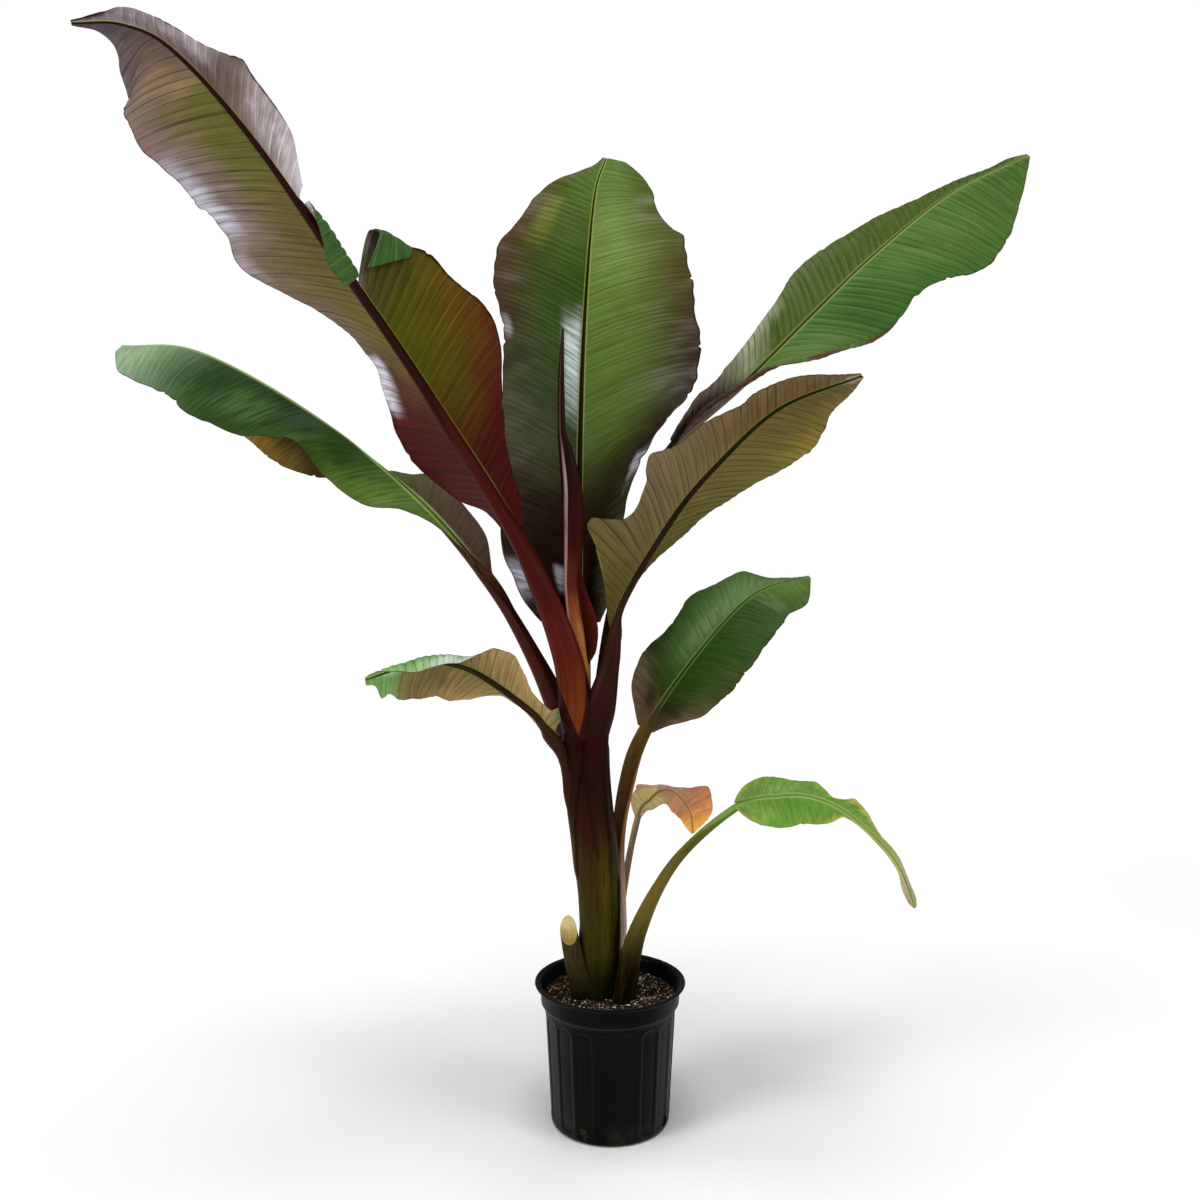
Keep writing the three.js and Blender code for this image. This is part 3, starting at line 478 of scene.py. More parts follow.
def smooth_blade(name, seed):
    """Both halves of a blade without their pleats, and open where they are torn."""
    leaf, line = LEAVES[name], LINES[name]
    pleats = round(line["length"] * (1 - line["base"]) / leaf.get("pitch", PLEAT_PITCH))
    rows = pleats * ROWS_PER_PLEAT + 1
    middle = (np.arange(rows - 1) + 0.5) / (rows - 1)
    parts, faces, count = [], [], 0
    for number, side in enumerate(("right", "left")):
        parts.append(half_blade(leaf, line, side, rows, 2 * seed + number))
        columns = parts[-1][0].shape[1]
        whole = np.ones(rows - 1, bool)
        for low, high in leaf.get(side + "_tears", []):
            whole &= (middle < low) | (middle > high)
        quads = np.array(grid_faces(rows, columns)).reshape(rows - 1, columns - 1, 4)[whole].reshape(-1, 4)
        faces.append((quads if side == "right" else quads[:, ::-1]) + count)
        count += rows * columns
    used, faces = np.unique(np.concatenate(faces), return_inverse=True)
    places = np.concatenate([part[0].reshape(-1, 3) for part in parts])[used]
    along, across, inset = (np.concatenate([part[k].ravel() for part in parts])[used] for k in (1, 2, 3))
    sway = wander(along, seed, pleats / PLEATS_PER_TURN) * (1 + HALVES_DIFFER * np.sign(across))
    vein = along * pleats + VEIN_WANDER * sway
    return mesh_of(name, places, faces.reshape(-1, 4).tolist(),
                   along=along, across=across, inset=inset, vein=vein)


print("rows for each pleat", ROWS_PER_PLEAT)

# %% [markdown]
# ## Trees of nodes
# Every finish and every rule below is a tree of nodes. Trees can be drawn by hand in an editor, but a script
# makes the same tree each time. One helper adds a node, sets its choices and links or fills its sockets, so
# that a tree reads as a list of steps.

# %% Nodes as steps


def add(tree, kind, inputs=None, **choices):
    """A new node. A value in inputs that is a socket is linked, and any other value is set."""
    node = tree.nodes.new(kind)
    for choice, value in choices.items():
        setattr(node, choice, value)
    for socket, value in (inputs or {}).items():
        if isinstance(value, bpy.types.NodeSocket):
            tree.links.new(value, node.inputs[socket])
        else:
            node.inputs[socket].default_value = value
    return node


def math_of(tree, operation, *values):
    """One math node's result, with numbers or sockets as its values."""
    return add(tree, "ShaderNodeMath", dict(enumerate(values)), operation=operation).outputs[0]


def times(tree, product, *others):
    """The product of two or more values."""
    for other in others:
        product = math_of(tree, "MULTIPLY", product, other)
    return product


def scaled(tree, vector, amount):
    return add(tree, "ShaderNodeVectorMath", {0: vector, "Scale": amount}, operation="SCALE").outputs[0]


def eased(tree, value, low, high, start=0.0, end=1.0):
    """value mapped from low..high to start..end with soft ends."""
    places = {0: value, 1: low, 2: high, 3: start, 4: end}
    return add(tree, "ShaderNodeMapRange", places, interpolation_type="SMOOTHSTEP").outputs[0]


print("steps so far: add, math_of, times, scaled, eased")

# %% Geometry trees


def new_tree(name, **inputs):
    """A geometry tree with its inputs and its output node. Each input has a socket kind and a value."""
    tree = bpy.data.node_groups.new(name, "GeometryNodeTree")
    tree.interface.new_socket("Geometry", in_out="INPUT", socket_type="NodeSocketGeometry")
    tree.interface.new_socket("Geometry", in_out="OUTPUT", socket_type="NodeSocketGeometry")
    for key, (kind, value) in inputs.items():
        socket = tree.interface.new_socket(key, in_out="INPUT", socket_type="NodeSocket" + kind)
        if value is not None:
            socket.default_value = value
    return tree, add(tree, "NodeGroupInput").outputs, add(tree, "NodeGroupOutput")


def carried(tree, key):
    """A number that the points of a mesh carry."""
    return add(tree, "GeometryNodeInputNamedAttribute", {"Name": key}, data_type="FLOAT").outputs[0]


def end_tree(tree, result, shape, finish):
    """The last two steps of every tree: real faces instead of instances, and their finish."""
    real = add(tree, "GeometryNodeRealizeInstances", {"Geometry": shape}).outputs[0]
    dressed = add(tree, "GeometryNodeSetMaterial", {"Geometry": real, "Material": finish})
    tree.links.new(dressed.outputs[0], result.inputs[0])
    return tree


def made_by(tree, mesh, name, **sizes):
    """The mesh that a geometry tree makes from a mesh, with the tree's inputs set by their names."""
    carrier = bpy.data.objects.new(name, mesh)
    bpy.context.scene.collection.objects.link(carrier)
    modifier = carrier.modifiers.new(name, "NODES")
    modifier.node_group = tree
    for item in tree.interface.items_tree:
        if item.name in sizes:
            modifier[item.identifier] = sizes[item.name]
    bpy.context.view_layer.update()
    made = bpy.data.meshes.new_from_object(carrier.evaluated_get(bpy.context.evaluated_depsgraph_get()))
    made.name = name
    bpy.data.objects.remove(carrier)
    return made


print("geometry steps: new_tree, carried, end_tree, made_by")

# %% [markdown]
# ## Pleats
# The pleat tree reads the numbers that the halves carry: vein counts pleats along the rib, and across is 0
# at the rib and 1 or -1 at the margins. A round back between sharp creases is the sine of half a turn. Each
# pleat could be drawn by hand, but a tree lifts hundreds of them on all nine leaves by one rule.

# %% The pleat tree
BACK_ROUND = 0.7
RIB_FADE = 0.012
# Share of the way to the margin where pleats start to fade, and what is left of them there
MARGIN_FADE = (0.7, 0.4)
# Pleats are deep in some patches and shallow in others: noise scale, and its range mapped to depths
PATCHY_SCALE = 7.0
PATCHY_DEPTH = (0.25, 0.65, 0.35, 1.15)
WAVE_SPAN = 2.0
SAME_PLACE = 1e-5


def pleat_tree():
    tree, given, result = new_tree(
        "pleated_blade", Depth=("Float", 0.0012), Wave=("Float", 0.006), Wavelength=("Float", 0.07),
        Thickness=("Float", 0.0012), Seed=("Float", 0.0), Finish=("Material", None))

    def seeded_noise(scale):
        return add(tree, "ShaderNodeTexNoise", {"W": given["Seed"], "Scale": scale, "Detail": 1.0},
                   noise_dimensions="4D").outputs[0]

    across = math_of(tree, "ABSOLUTE", carried(tree, "across"))
    turn = times(tree, math_of(tree, "FRACT", carried(tree, "vein")), math.pi)
    back = math_of(tree, "POWER", math_of(tree, "SINE", turn), BACK_ROUND)
    fade = times(tree, eased(tree, carried(tree, "inset"), 0.0, RIB_FADE),
                 eased(tree, across, MARGIN_FADE[0], 1.0, 1.0, MARGIN_FADE[1]))
    patchy = eased(tree, seeded_noise(PATCHY_SCALE), *PATCHY_DEPTH)
    pleat = times(tree, back, fade, given["Depth"], patchy)
    noise = seeded_noise(math_of(tree, "DIVIDE", 1.0, given["Wavelength"]))
    wave = times(tree, math_of(tree, "SUBTRACT", noise, 0.5), given["Wave"],
                 math_of(tree, "POWER", across, 2.0))
    lift = math_of(tree, "ADD", pleat, times(tree, wave, WAVE_SPAN))
    offset = scaled(tree, add(tree, "GeometryNodeInputNormal").outputs[0], lift)
    sheet = add(tree, "GeometryNodeSetPosition",
                {"Geometry": given["Geometry"], "Offset": offset}).outputs[0]
    raised = add(tree, "GeometryNodeExtrudeMesh",
                 {"Mesh": sheet, "Offset Scale": given["Thickness"], "Individual": False}, mode="FACES")
    marked = add(tree, "GeometryNodeStoreNamedAttribute",
                 {"Geometry": raised.outputs["Mesh"], "Selection": raised.outputs["Top"], "Name": "upper",
                  "Value": 1.0}, data_type="FLOAT", domain="FACE").outputs[0]
    edged = add(tree, "GeometryNodeSetShadeSmooth",
                {"Geometry": marked, "Selection": raised.outputs["Side"], "Shade Smooth": False},
                domain="FACE").outputs[0]
    under = add(tree, "GeometryNodeFlipFaces", {"Mesh": sheet}).outputs[0]
    joined = add(tree, "GeometryNodeJoinGeometry")
    tree.links.new(edged, joined.inputs[0])
    tree.links.new(under, joined.inputs[0])
    closed = add(tree, "GeometryNodeMergeByDistance",
                 {"Geometry": joined.outputs[0], "Distance": SAME_PLACE})
    return end_tree(tree, result, closed.outputs[0], given["Finish"])


PLEATS = pleat_tree()
print("pleat tree has", len(PLEATS.nodes), "nodes")

# %% [markdown]
# ## The finish of a blade
# This banana is green above with wine-red margins, and its underside runs from dark red at the stalk to
# olive and a purple brown. A painted picture for each leaf would do, but ramps and noises that follow
# the veins stay sharp close up. Each face has two ramps along the leaf, one for the colour beside the rib
# and one for the margin, and where the left half looks different it has two of its own. Pale stops and
# patches of some leaves are painted sheen, and some dark ones painted shade. Streaks follow the veins,
# every crease gets a fine dark line of painted shade, and a yellow-green line runs beside the rib.

# %% Colours and shaders
USUAL_SHINE = 0.045
# The range in which most of a noise lies
NOISE_SPAN = (0.3, 0.7)
NEAR_FROM = 0.25


def linear(colour):
    """A screen colour such as 5a8c3c as linear light, with alpha."""
    parts = [int(colour[i:i + 2], 16) / 255 for i in (0, 2, 4)]
    return tuple(p / 12.92 if p <= 0.04045 else ((p + 0.055) / 1.055) ** 2.4 for p in parts) + (1.0,)


def stops_of(tree, share, stops):
    """A colour ramp along a share with (place, colour) stops."""
    ramp = add(tree, "ShaderNodeValToRGB", {0: share})
    elements = ramp.color_ramp.elements
    while len(elements) < len(stops):
        elements.new(0.5)
    for element, (place, colour) in zip(elements, stops):
        element.position = place
        element.color = linear(colour)
    return ramp.outputs[0]


def mixed(tree, share, first, second):
    """Two colours mixed by a share. A colour is a socket or a screen colour."""
    first, second = (linear(value) if isinstance(value, str) else value for value in (first, second))
    return add(tree, "ShaderNodeMix", {0: share, 6: first, 7: second}, data_type="RGBA").outputs[2]


def read(tree, key):
    return add(tree, "ShaderNodeAttribute", attribute_name=key).outputs["Fac"]


def own_place(tree):
    return add(tree, "ShaderNodeTexCoord").outputs["Object"]


def noise_on(tree, vector, scale, detail=3.0):
    return add(tree, "ShaderNodeTexNoise", {"Vector": vector, "Scale": scale, "Detail": detail}).outputs[0]


def swayed(tree, value, noise, amount):
    """value shifted to and fro by a noise."""
    return math_of(tree, "ADD", value, times(tree, math_of(tree, "SUBTRACT", noise, 0.5), amount))


def near(tree, value, middle, half):
    """1 close to a middle value and 0 beyond half, with soft ends."""
    away = math_of(tree, "ABSOLUTE", math_of(tree, "SUBTRACT", value, middle))
    return eased(tree, away, NEAR_FROM * half, half, 1.0, 0.0)


def finish_of(name, shine=USUAL_SHINE):
    """A new material with its tree and its main shader, which mirrors a little by its shine."""
    material = bpy.data.materials.new(name)
    material.use_nodes = True
    shader = material.node_tree.nodes["Principled BSDF"]
    shader.inputs["Specular IOR Level"].default_value = shine
    return material, material.node_tree, shader


def dress(tree, shader, colour, noise, roughness, grain=None, bump=(0, 0)):
    """Colour to the shader, roughness from the first to the second value by a noise, and grain as a bump."""
    tree.links.new(colour, shader.inputs["Base Color"])
    tree.links.new(eased(tree, noise, *NOISE_SPAN, *roughness), shader.inputs["Roughness"])
    if grain:
        strength, depth = bump
        raised = add(tree, "ShaderNodeBump", {"Strength": strength, "Distance": depth, "Height": grain})
        tree.links.new(raised.outputs[0], shader.inputs["Normal"])


print("most of a noise lies in", NOISE_SPAN)

# %% Places and noises on a blade
# What a leaf's look has where it says nothing else
# line and line_width set the strength and width of a dark line in each crease, which is painted shade
USUAL_LOOK = dict(shine=USUAL_SHINE, edge_from=0.35, streaks=0.25, line=0.45, line_width=0.1,
                  crease_shade_colour="1c1a10", rib_line=0.0035, rib_colour="6c7a30", rim_colour="2c140e",
                  gloss=0.32, dull=0.46)
RAMP_SWAY = 0.16
EDGE_SWAY = 0.5
# How fast a noise changes from vein to vein and along a vein
STREAK_STRETCH = (1.7, 2.2)
FINE_STRETCH = (9.0, 1.0)


def noise_by_veins(tree, at, stretch, detail):
    """A noise that is drawn out along the veins."""
    from_vein, on_vein = (times(tree, at[key], amount) for key, amount in zip(("vein", "across"), stretch))
    vector = add(tree, "ShaderNodeCombineXYZ", {0: from_vein, 1: on_vein, 2: at["upper"]}).outputs[0]
    return noise_on(tree, vector, scale=1.0, detail=detail)


def blade_measures(tree, look):
    """Where a point lies on its blade, and the noises there, as sockets by name."""
    at = {key: read(tree, key) for key in ("along", "across", "vein", "inset", "upper")}
    at["out"] = math_of(tree, "ABSOLUTE", at["across"])
    at["left"] = math_of(tree, "LESS_THAN", at["across"], 0.0)
    at["patch"] = noise_on(tree, own_place(tree), scale=9.0)
    at["streak"] = noise_by_veins(tree, at, STREAK_STRETCH, detail=4.0)
    at["fine"] = noise_by_veins(tree, at, FINE_STRETCH, detail=2.0)
    at["ramp"] = swayed(tree, at["along"], at["patch"], RAMP_SWAY)
    at["edge"] = eased(tree, swayed(tree, at["out"], at["streak"], EDGE_SWAY), look["edge_from"], 1.0)
    return at


print("a usual blade mirrors by", USUAL_LOOK["shine"])

# %% Blade finish
FINE_TONE = (0.84, 1.16)
PATCH_STREAKS = (0.3, 0.6)
CREASE_FROM = 0.015
CREASE_PATCHY = (0.35, 0.6, 0.55, 1.0)
# The line beside the rib: distance in metres where it starts to fade, strength, and where along it comes in
RIB_LINE_FROM = 0.001
RIB_LINE_STRENGTH = 0.7
RIB_LINE_START = (0.02, 0.14)
RIM_FROM = 0.98
RIM_STRENGTH = 0.8


def face_colour(tree, look, face, at):
    """The colour of one face of a blade: ramps from the rib to the margin, and soft patches over them of
    painted sheen, painted shade and the leaf's own tints.
    """

    def rib_to_margin(half):
        return mixed(tree, at["edge"], stops_of(tree, at["ramp"], look[half]),
                     stops_of(tree, at["ramp"], look[half + "_edge"]))

    colour = rib_to_margin(face)
    if face + "_left" in look:
        colour = mixed(tree, at["left"], colour, rib_to_margin(face + "_left"))
    # Pale patches are painted sheen, some dark ones painted shade, and the rest tints of the leaf's own.
    for where, reach, side, span, patch_colour, strength in look.get(face + "_patches", []):
        mask = times(tree, near(tree, at["ramp"], where, reach), near(tree, at["across"], side, span),
                     eased(tree, at["streak"], *PATCH_STREAKS, strength / 2, strength))
        colour = mixed(tree, mask, colour, patch_colour)
    return colour


def with_lines(tree, look, colour, at):
    """The colour with a dark line of painted shade in each crease, lighter vein lines instead on a left half
    with line_left, the line beside the rib and the thin rim of the margin.
    """
    # Painted shade: a dark line along each crease of the pleats
    crease = eased(tree, math_of(tree, "PINGPONG", at["vein"], 0.5), CREASE_FROM, look["line_width"],
                   look["line"], 0.0)
    crease = times(tree, crease, eased(tree, at["patch"], *CREASE_PATCHY))
    crease_colour = look["crease_shade_colour"]
    if "line_left" in look:
        crease_colour = mixed(tree, at["left"], crease_colour, scaled(tree, colour, look["line_left"]))
    colour = mixed(tree, crease, colour, crease_colour)
    beside = times(tree, eased(tree, at["inset"], RIB_LINE_FROM, look["rib_line"], RIB_LINE_STRENGTH, 0.0),
                   eased(tree, at["along"], *RIB_LINE_START))
    if look.get("rib_line_left_only"):
        beside = times(tree, beside, at["left"])
    colour = mixed(tree, beside, colour, look["rib_colour"])
    return mixed(tree, eased(tree, at["out"], RIM_FROM, 1.0, 0.0, RIM_STRENGTH), colour, look["rim_colour"])


def blade_finish(name, own_look):
    look = {**USUAL_LOOK, **own_look}
    material, tree, shader = finish_of(name, look["shine"])
    at = blade_measures(tree, look)
    under, upper = (face_colour(tree, look, face, at) for face in ("under", "upper"))
    swing = look["streaks"]
    tone = times(tree, eased(tree, at["streak"], *NOISE_SPAN, 1.0 - swing, 1.0 + swing),
                 eased(tree, at["fine"], *NOISE_SPAN, *FINE_TONE))
    colour = scaled(tree, mixed(tree, at["upper"], under, upper), tone)
    dress(tree, shader, with_lines(tree, look, colour, at), at["streak"],
          roughness=(look["gloss"], look["dull"]), grain=at["fine"], bump=(0.1, 0.0006))
    return material


print("the rib's line starts to fade at", RIB_LINE_FROM, "m")

# %% [markdown]
# Each leaf has its own age: the youngest are wine red, the broad middle ones green, and the oldest yellow
# and dry at the tip. One look for all would be shorter, but the mix of ages is what makes this plant. The
# colours go along the leaf from its base at 0 to its tip at 1. A patch has its middle and reach along the
# leaf, its middle and reach across it, a colour and a strength. Some patches are painted sheen or painted
# shade and the rest tints of the leaf's own, as each leaf's comments say.

# %% Looks of the nine blades
LOOKS = dict(
    front_left_leaf=dict(
        upper=[(0, "422a1a"), (0.15, "315322"), (0.45, "3a5729"), (1, "3e5f2f")],
        # The pale grey-pink stops of upper_edge from 0.645 on are painted sheen, made lighter still where the
        # margin lies in shade.
        upper_edge=[(0, "442014"), (0.3, "375726"), (0.6, "3e5d2f"), (0.645, "a29696"), (1, "7b7070")],
        under=[(0, "3c0d09"), (0.14, "3e0e0a"), (0.22, "441a11"), (0.3, "5b4826"), (0.42, "665b2f"),
               (0.58, "6a5d39"), (0.7, "63612d"), (0.8, "6a6333"), (0.845, "8c7458"), (0.9, "5a4c4c"),
               (1, "463e42")],
        # The lilac stop at 0.62 of under_edge and the pale stops from 0.62 to 0.84 of the under_left ramps
        # are painted sheen.
        under_edge=[(0, "3a0b0b"), (0.2, "400f0f"), (0.27, "4f2620"), (0.34, "6a5744"), (0.5, "7f6a59"),
                    (0.62, "8e7f85"), (0.74, "87706a"), (0.84, "8e786a"), (0.92, "63575b"), (1, "463e42")],
        under_left=[
            (0, "3e0e0a"), (0.14, "42120b"), (0.21, "4a2d0d"), (0.29, "4f4a09"), (0.38, "4e4f09"),
            (0.48, "423e14"), (0.62, "b5abaf"), (0.7, "7c6a60"), (0.8, "5c4c42"), (0.9, "665858"),
            (1, "4c4246")],
        under_left_edge=[
            (0, "3e0b09"), (0.18, "420f0b"), (0.25, "512611"), (0.33, "5d3e12"), (0.4, "574c16"),
            (0.48, "444218"), (0.62, "cbc6cb"), (0.7, "a79898"), (0.77, "6c5c54"), (0.84, "b0a6aa"),
            (0.94, "685d61"), (1, "4c4246")],
        # All patches but the olive one at 0.79 are painted sheen.
        under_patches=[
            (0.62, 0.1, 1, 0.3, "d3d3e0", 0.75), (0.5, 0.05, 0.98, 0.2, "b5a9b5", 0.6),
            (0.275, 0.055, 0.98, 0.34, "d7d3e0", 0.9), (0.79, 0.09, 0.12, 0.2, "5f6829", 0.4),
            (0.68, 0.07, -0.5, 0.6, "c4bcc2", 0.6)],
        edge_from=0.25, line=0.62, crease_shade_colour="1c100a", line_left=2.1, line_width=0.085,
        rib_colour="8c8c38", rib_line_left_only=True, streaks=0.12, gloss=0.3, dull=0.42),
    back_leaf=dict(
        # The near-black stops at the base of upper, upper_left and upper_left_edge are painted shade where
        # the halves fold in, over the leaf's own maroon.
        upper=[(0, "170704"), (0.14, "23150c"), (0.23, "353317"), (0.32, "475723"), (0.5, "516826"),
               (0.65, "5a712e"), (0.8, "687f3c"), (1, "5a7532")],
        upper_edge=[(0, "3e3e2c"), (0.14, "3c3a2a"), (0.26, "23140e"), (0.4, "2a1e17"), (0.52, "3e2e22"),
                    (0.66, "4c4023"), (0.8, "535527"), (1, "505f27")],
        upper_left=[(0, "190906"), (0.1, "22120b"), (0.2, "2a2012"), (0.3, "404329"), (0.4, "333e20"),
                    (0.55, "32481b"), (0.7, "304712"), (0.85, "475e1e"), (1, "506c29")],
        upper_left_edge=[(0, "170907"), (0.2, "2a1e17"), (0.32, "454733"), (0.42, "353922"),
                         (0.55, "3e331e"), (0.7, "4c3523"), (0.85, "51451e"), (1, "4e5e27")],
        under=[(0, "451c1c"), (0.3, "53452e"), (1, "5f5a39")],
        under_edge=[(0, "3c1719"), (0.5, "50372a"), (1, "554835")],
        # The five pale patches are painted sheen, and the two green ones tints of the leaf's own.
        upper_patches=[
            (0.52, 0.15, -0.13, 0.16, "c4d0cb", 0.9), (0.235, 0.045, 0.93, 0.13, "b4afbb", 0.8),
            (0.05, 0.05, -0.9, 0.18, "b4afc0", 0.8), (0.05, 0.035, -0.28, 0.12, "c6c2d0", 0.85),
            (0.53, 0.045, -0.97, 0.12, "a6a1a6", 0.65), (0.8, 0.1, -0.66, 0.2, "717a22", 0.5),
            (0.78, 0.14, 0.3, 0.3, "6c843e", 0.4)],
        edge_from=0.3, line=0.5, crease_shade_colour="161c08", rib_colour="8ca048", streaks=0.14, gloss=0.26,
        dull=0.4, shine=0.06),
    back_right_leaf=dict(
        upper=[(0, "3a2f28"), (0.1, "4a4633"), (0.22, "516833"), (0.4, "46682f"), (0.7, "516f34"),
               (1, "46632b")],
        upper_edge=[(0, "3a2a22"), (0.14, "51463a"), (0.28, "465f2b"), (0.5, "3a5f26"), (0.8, "48682d"),
                    (1, "4f6131")],
        # The pale grey-green stops from 0.05 to 0.22 of both upper_left ramps are the base's own grey-brown
        # with a painted sheen, made lighter to make up for shade.
        upper_left=[(0, "443432"), (0.05, "6a5850"), (0.11, "948a76"), (0.19, "a0a581"), (0.3, "44561f"),
                    (0.5, "3f531b"), (0.75, "44581f"), (1, "3f551f")],
        upper_left_edge=[(0, "4a3a38"), (0.06, "705e56"), (0.13, "9a907c"), (0.22, "a9ab8e"),
                         (0.34, "515c2f"), (0.6, "4a5826"), (0.85, "435121"), (1, "465126")],
        under=[(0, "2d1b16"), (0.3, "3c261d"), (1, "4a3a24")],
        under_edge=[(0, "3c261e"), (0.2, "5a4034"), (0.4, "5e4638"), (1, "4a3828")],
        upper_patches=[(0.42, 0.12, 0.5, 0.4, "2a4f1d", 0.5)],
        edge_from=0.5, line=0.6, crease_shade_colour="12200a", line_width=0.12, rib_colour="8c9a50",
        rim_colour="38200f", streaks=0.12, shine=0.03),
    front_right_leaf=dict(
        upper=[(0, "5a6836"), (0.3, "547e40"), (1, "608248")],
        upper_edge=[(0, "605e36"), (0.4, "567440"), (1, "70643e")],
        under=[(0, "4a401a"), (0.14, "5a5026"), (0.35, "6a5a3e"), (0.6, "6e5a3a"), (0.85, "6a5432"),
               (1, "6e5a46")],
        under_edge=[(0, "4e421c"), (0.15, "5e5228"), (0.4, "726046"), (0.7, "76643c"), (0.9, "6c5634"),
                    (1, "705c4a")],
        under_left=[(0, "403818"), (0.3, "5c5628"), (0.6, "6a6032"), (0.85, "605228"), (1, "685640")],
        under_left_edge=[(0, "403618"), (0.4, "625a2e"), (0.66, "807232"), (0.8, "74642e"), (1, "6c5842")],
        under_patches=[(0.13, 0.05, 0.98, 0.12, "787c38", 0.6), (0.66, 0.08, -0.95, 0.3, "8c7a2c", 0.6),
                       (1, 0.07, 0, 0.9, "c0a298", 0.95)],
        edge_from=0.4, line=0.66, crease_shade_colour="1c1006", line_width=0.13, rib_colour="567c1e",
        rib_line=0.0028, streaks=0.1),
    left_leaf=dict(
        # The pale grey-green stops from 0.88 on of all four upper ramps are painted sheen, and the darker
        # stops in the middle are painted shade.
        upper=[(0, "443429"), (0.12, "46352a"), (0.24, "403b29"), (0.3, "405627"), (0.36, "273d16"),
               (0.55, "213513"), (0.75, "2c4223"), (0.88, "6e8462"), (1, "8ea482")],
        upper_edge=[(0, "403025"), (0.14, "48372c"), (0.22, "444b27"), (0.32, "445e27"), (0.5, "293f18"),
                    (0.75, "344b27"), (0.88, "728864"), (1, "8ea482")],
        upper_left=[(0, "423427"), (0.05, "51562e"), (0.14, "536830"), (0.26, "465f25"), (0.36, "294218"),
                    (0.55, "1c300f"), (0.75, "273f1e"), (0.88, "6c8460"), (1, "8ea482")],
        upper_left_edge=[
            (0, "3f3225"), (0.08, "4b5829"), (0.2, "4b6527"), (0.32, "536c2c"), (0.45, "2c441a"),
            (0.6, "304821"), (0.75, "3f5830"), (0.88, "68805e"), (1, "8ea482")],
        under=[(0, "352118"), (0.4, "302513"), (1, "564d2c")],
        under_edge=[(0, "3f231a"), (0.34, "342915"), (0.44, "44351a"), (0.5, "6c5425"), (0.56, "91722c"),
                    (0.62, "513f21"), (1, "5a5130")],
        # Both patches are painted sheen.
        upper_patches=[(0.25, 0.06, -0.6, 0.4, "657b37", 0.5), (0.62, 0.1, -0.5, 0.4, "53703f", 0.5)],
        edge_from=0.45, line=0.2, crease_shade_colour="122008", rib_colour="94ac60", rib_line=0.006, streaks=0.14,
        shine=0.03),
    low_left_leaf=dict(
        upper=[(0, "567137"), (0.5, "5a8344"), (0.85, "629a4c"), (1, "6ba452")],
        # The pale stop at 0.6 of upper_edge is painted sheen.
        upper_edge=[(0, "5e773e"), (0.35, "7b9a66"), (0.6, "c9dbc9"), (0.75, "9abc83"), (1, "71ac58")],
        under=[(0, "8f7f50"), (0.2, "a48b56"), (0.4, "957f50"), (0.6, "73643c"), (0.8, "796f40"),
               (0.88, "6f9a50"), (1, "71a854")],
        under_edge=[(0, "a89162"), (0.2, "b69a64"), (0.4, "a88d5c"), (0.6, "8f774c"), (0.78, "7f6640"),
                    (0.87, "7b9c5e"), (1, "77ac5a")],
        # The pale patch at 0.88 is painted sheen, and the green one at the base is the colour of the upper
        # face.
        under_patches=[(0.04, 0.022, -0.9, 0.45, "719a56", 0.9), (0.88, 0.06, -0.3, 0.7, "cde3be", 0.8)],
        edge_from=0.4, line=0.55, crease_shade_colour="2c1c0c", rib_colour="7c8c38", rim_colour="3c2010",
        streaks=0.1),
    right_leaf=dict(
        upper=[(0, "5e4c34"), (0.06, "42381e"), (0.1, "2e2c0e"), (0.18, "2a3f12"), (0.4, "284316"),
               (0.7, "334d1d"), (0.85, "516c31"), (1, "5c783a")],
        upper_edge=[(0, "634f3c"), (0.1, "5c4a38"), (0.2, "363f1d"), (0.5, "2b4619"), (0.75, "3a5126"),
                    (1, "556e3a")],
        upper_left=[(0, "68563d"), (0.08, "55442d"), (0.18, "2f3d16"), (0.35, "40602a"), (0.6, "5c7a44"),
                    (0.8, "607e44"), (1, "5f7c3d")],
        upper_left_edge=[(0, "7c6751"), (0.12, "6e5a44"), (0.24, "334119"), (0.5, "385521"), (0.8, "536e38"),
                         (1, "617c41")],
        under=[(0, "463a28"), (0.4, "555c2f"), (1, "5f6a38")],
        under_edge=[(0, "584636"), (0.4, "555c31"), (1, "5f6a38")],
        # The two pale patches are painted sheen, and the dark one at 0.1 is painted shade.
        upper_patches=[(0.5, 0.22, -0.3, 0.25, "758763", 0.5), (0.1, 0.05, -0.32, 0.2, "21190f", 0.7),
                       (0.78, 0.06, 0.5, 0.5, "73855c", 0.4)],
        edge_from=0.4, line=0.22, crease_shade_colour="16280a", rib_colour="6c8c48", rim_colour="3c2410",
        streaks=0.14),
    withered_leaf=dict(
        upper=[(0, "ddd389"), (0.3, "eedd93"), (0.48, "ce9d73"), (0.72, "c48661"), (0.88, "f6a94e"),
               (1, "ffd85a")],
        upper_edge=[(0, "d8c293"), (0.3, "e9ba93"), (0.5, "cc8b6e"), (0.72, "c98257"), (0.88, "ffbd55"),
                    (1, "ffe266")],
        under=[(0, "b1a275"), (0.4, "c2987d"), (0.8, "c98e6e"), (1, "ffce70")],
        under_edge=[(0, "c2a789"), (0.5, "c9957f"), (1, "ffe075")],
        upper_patches=[(0.42, 0.14, 0, 0.9, "986b50", 0.4)],
        edge_from=0.4, line=0.3, crease_shade_colour="50301e", rib_colour="c8a070", rim_colour="8c4830",
        streaks=0.12, gloss=0.55, dull=0.75),
    low_right_leaf=dict(
        upper=[(0, "66863d"), (0.2, "598231"), (0.45, "608938"), (0.55, "6c9040"), (0.72, "8c9a4c"),
               (0.82, "ac9c78"), (1, "9c8870")],
        upper_edge=[(0, "909747"), (0.15, "638d38"), (0.38, "789440"), (0.47, "b1a947"), (0.58, "b1a355"),
                    (0.72, "b0a860"), (0.82, "b0a07c"), (1, "9c8870")],
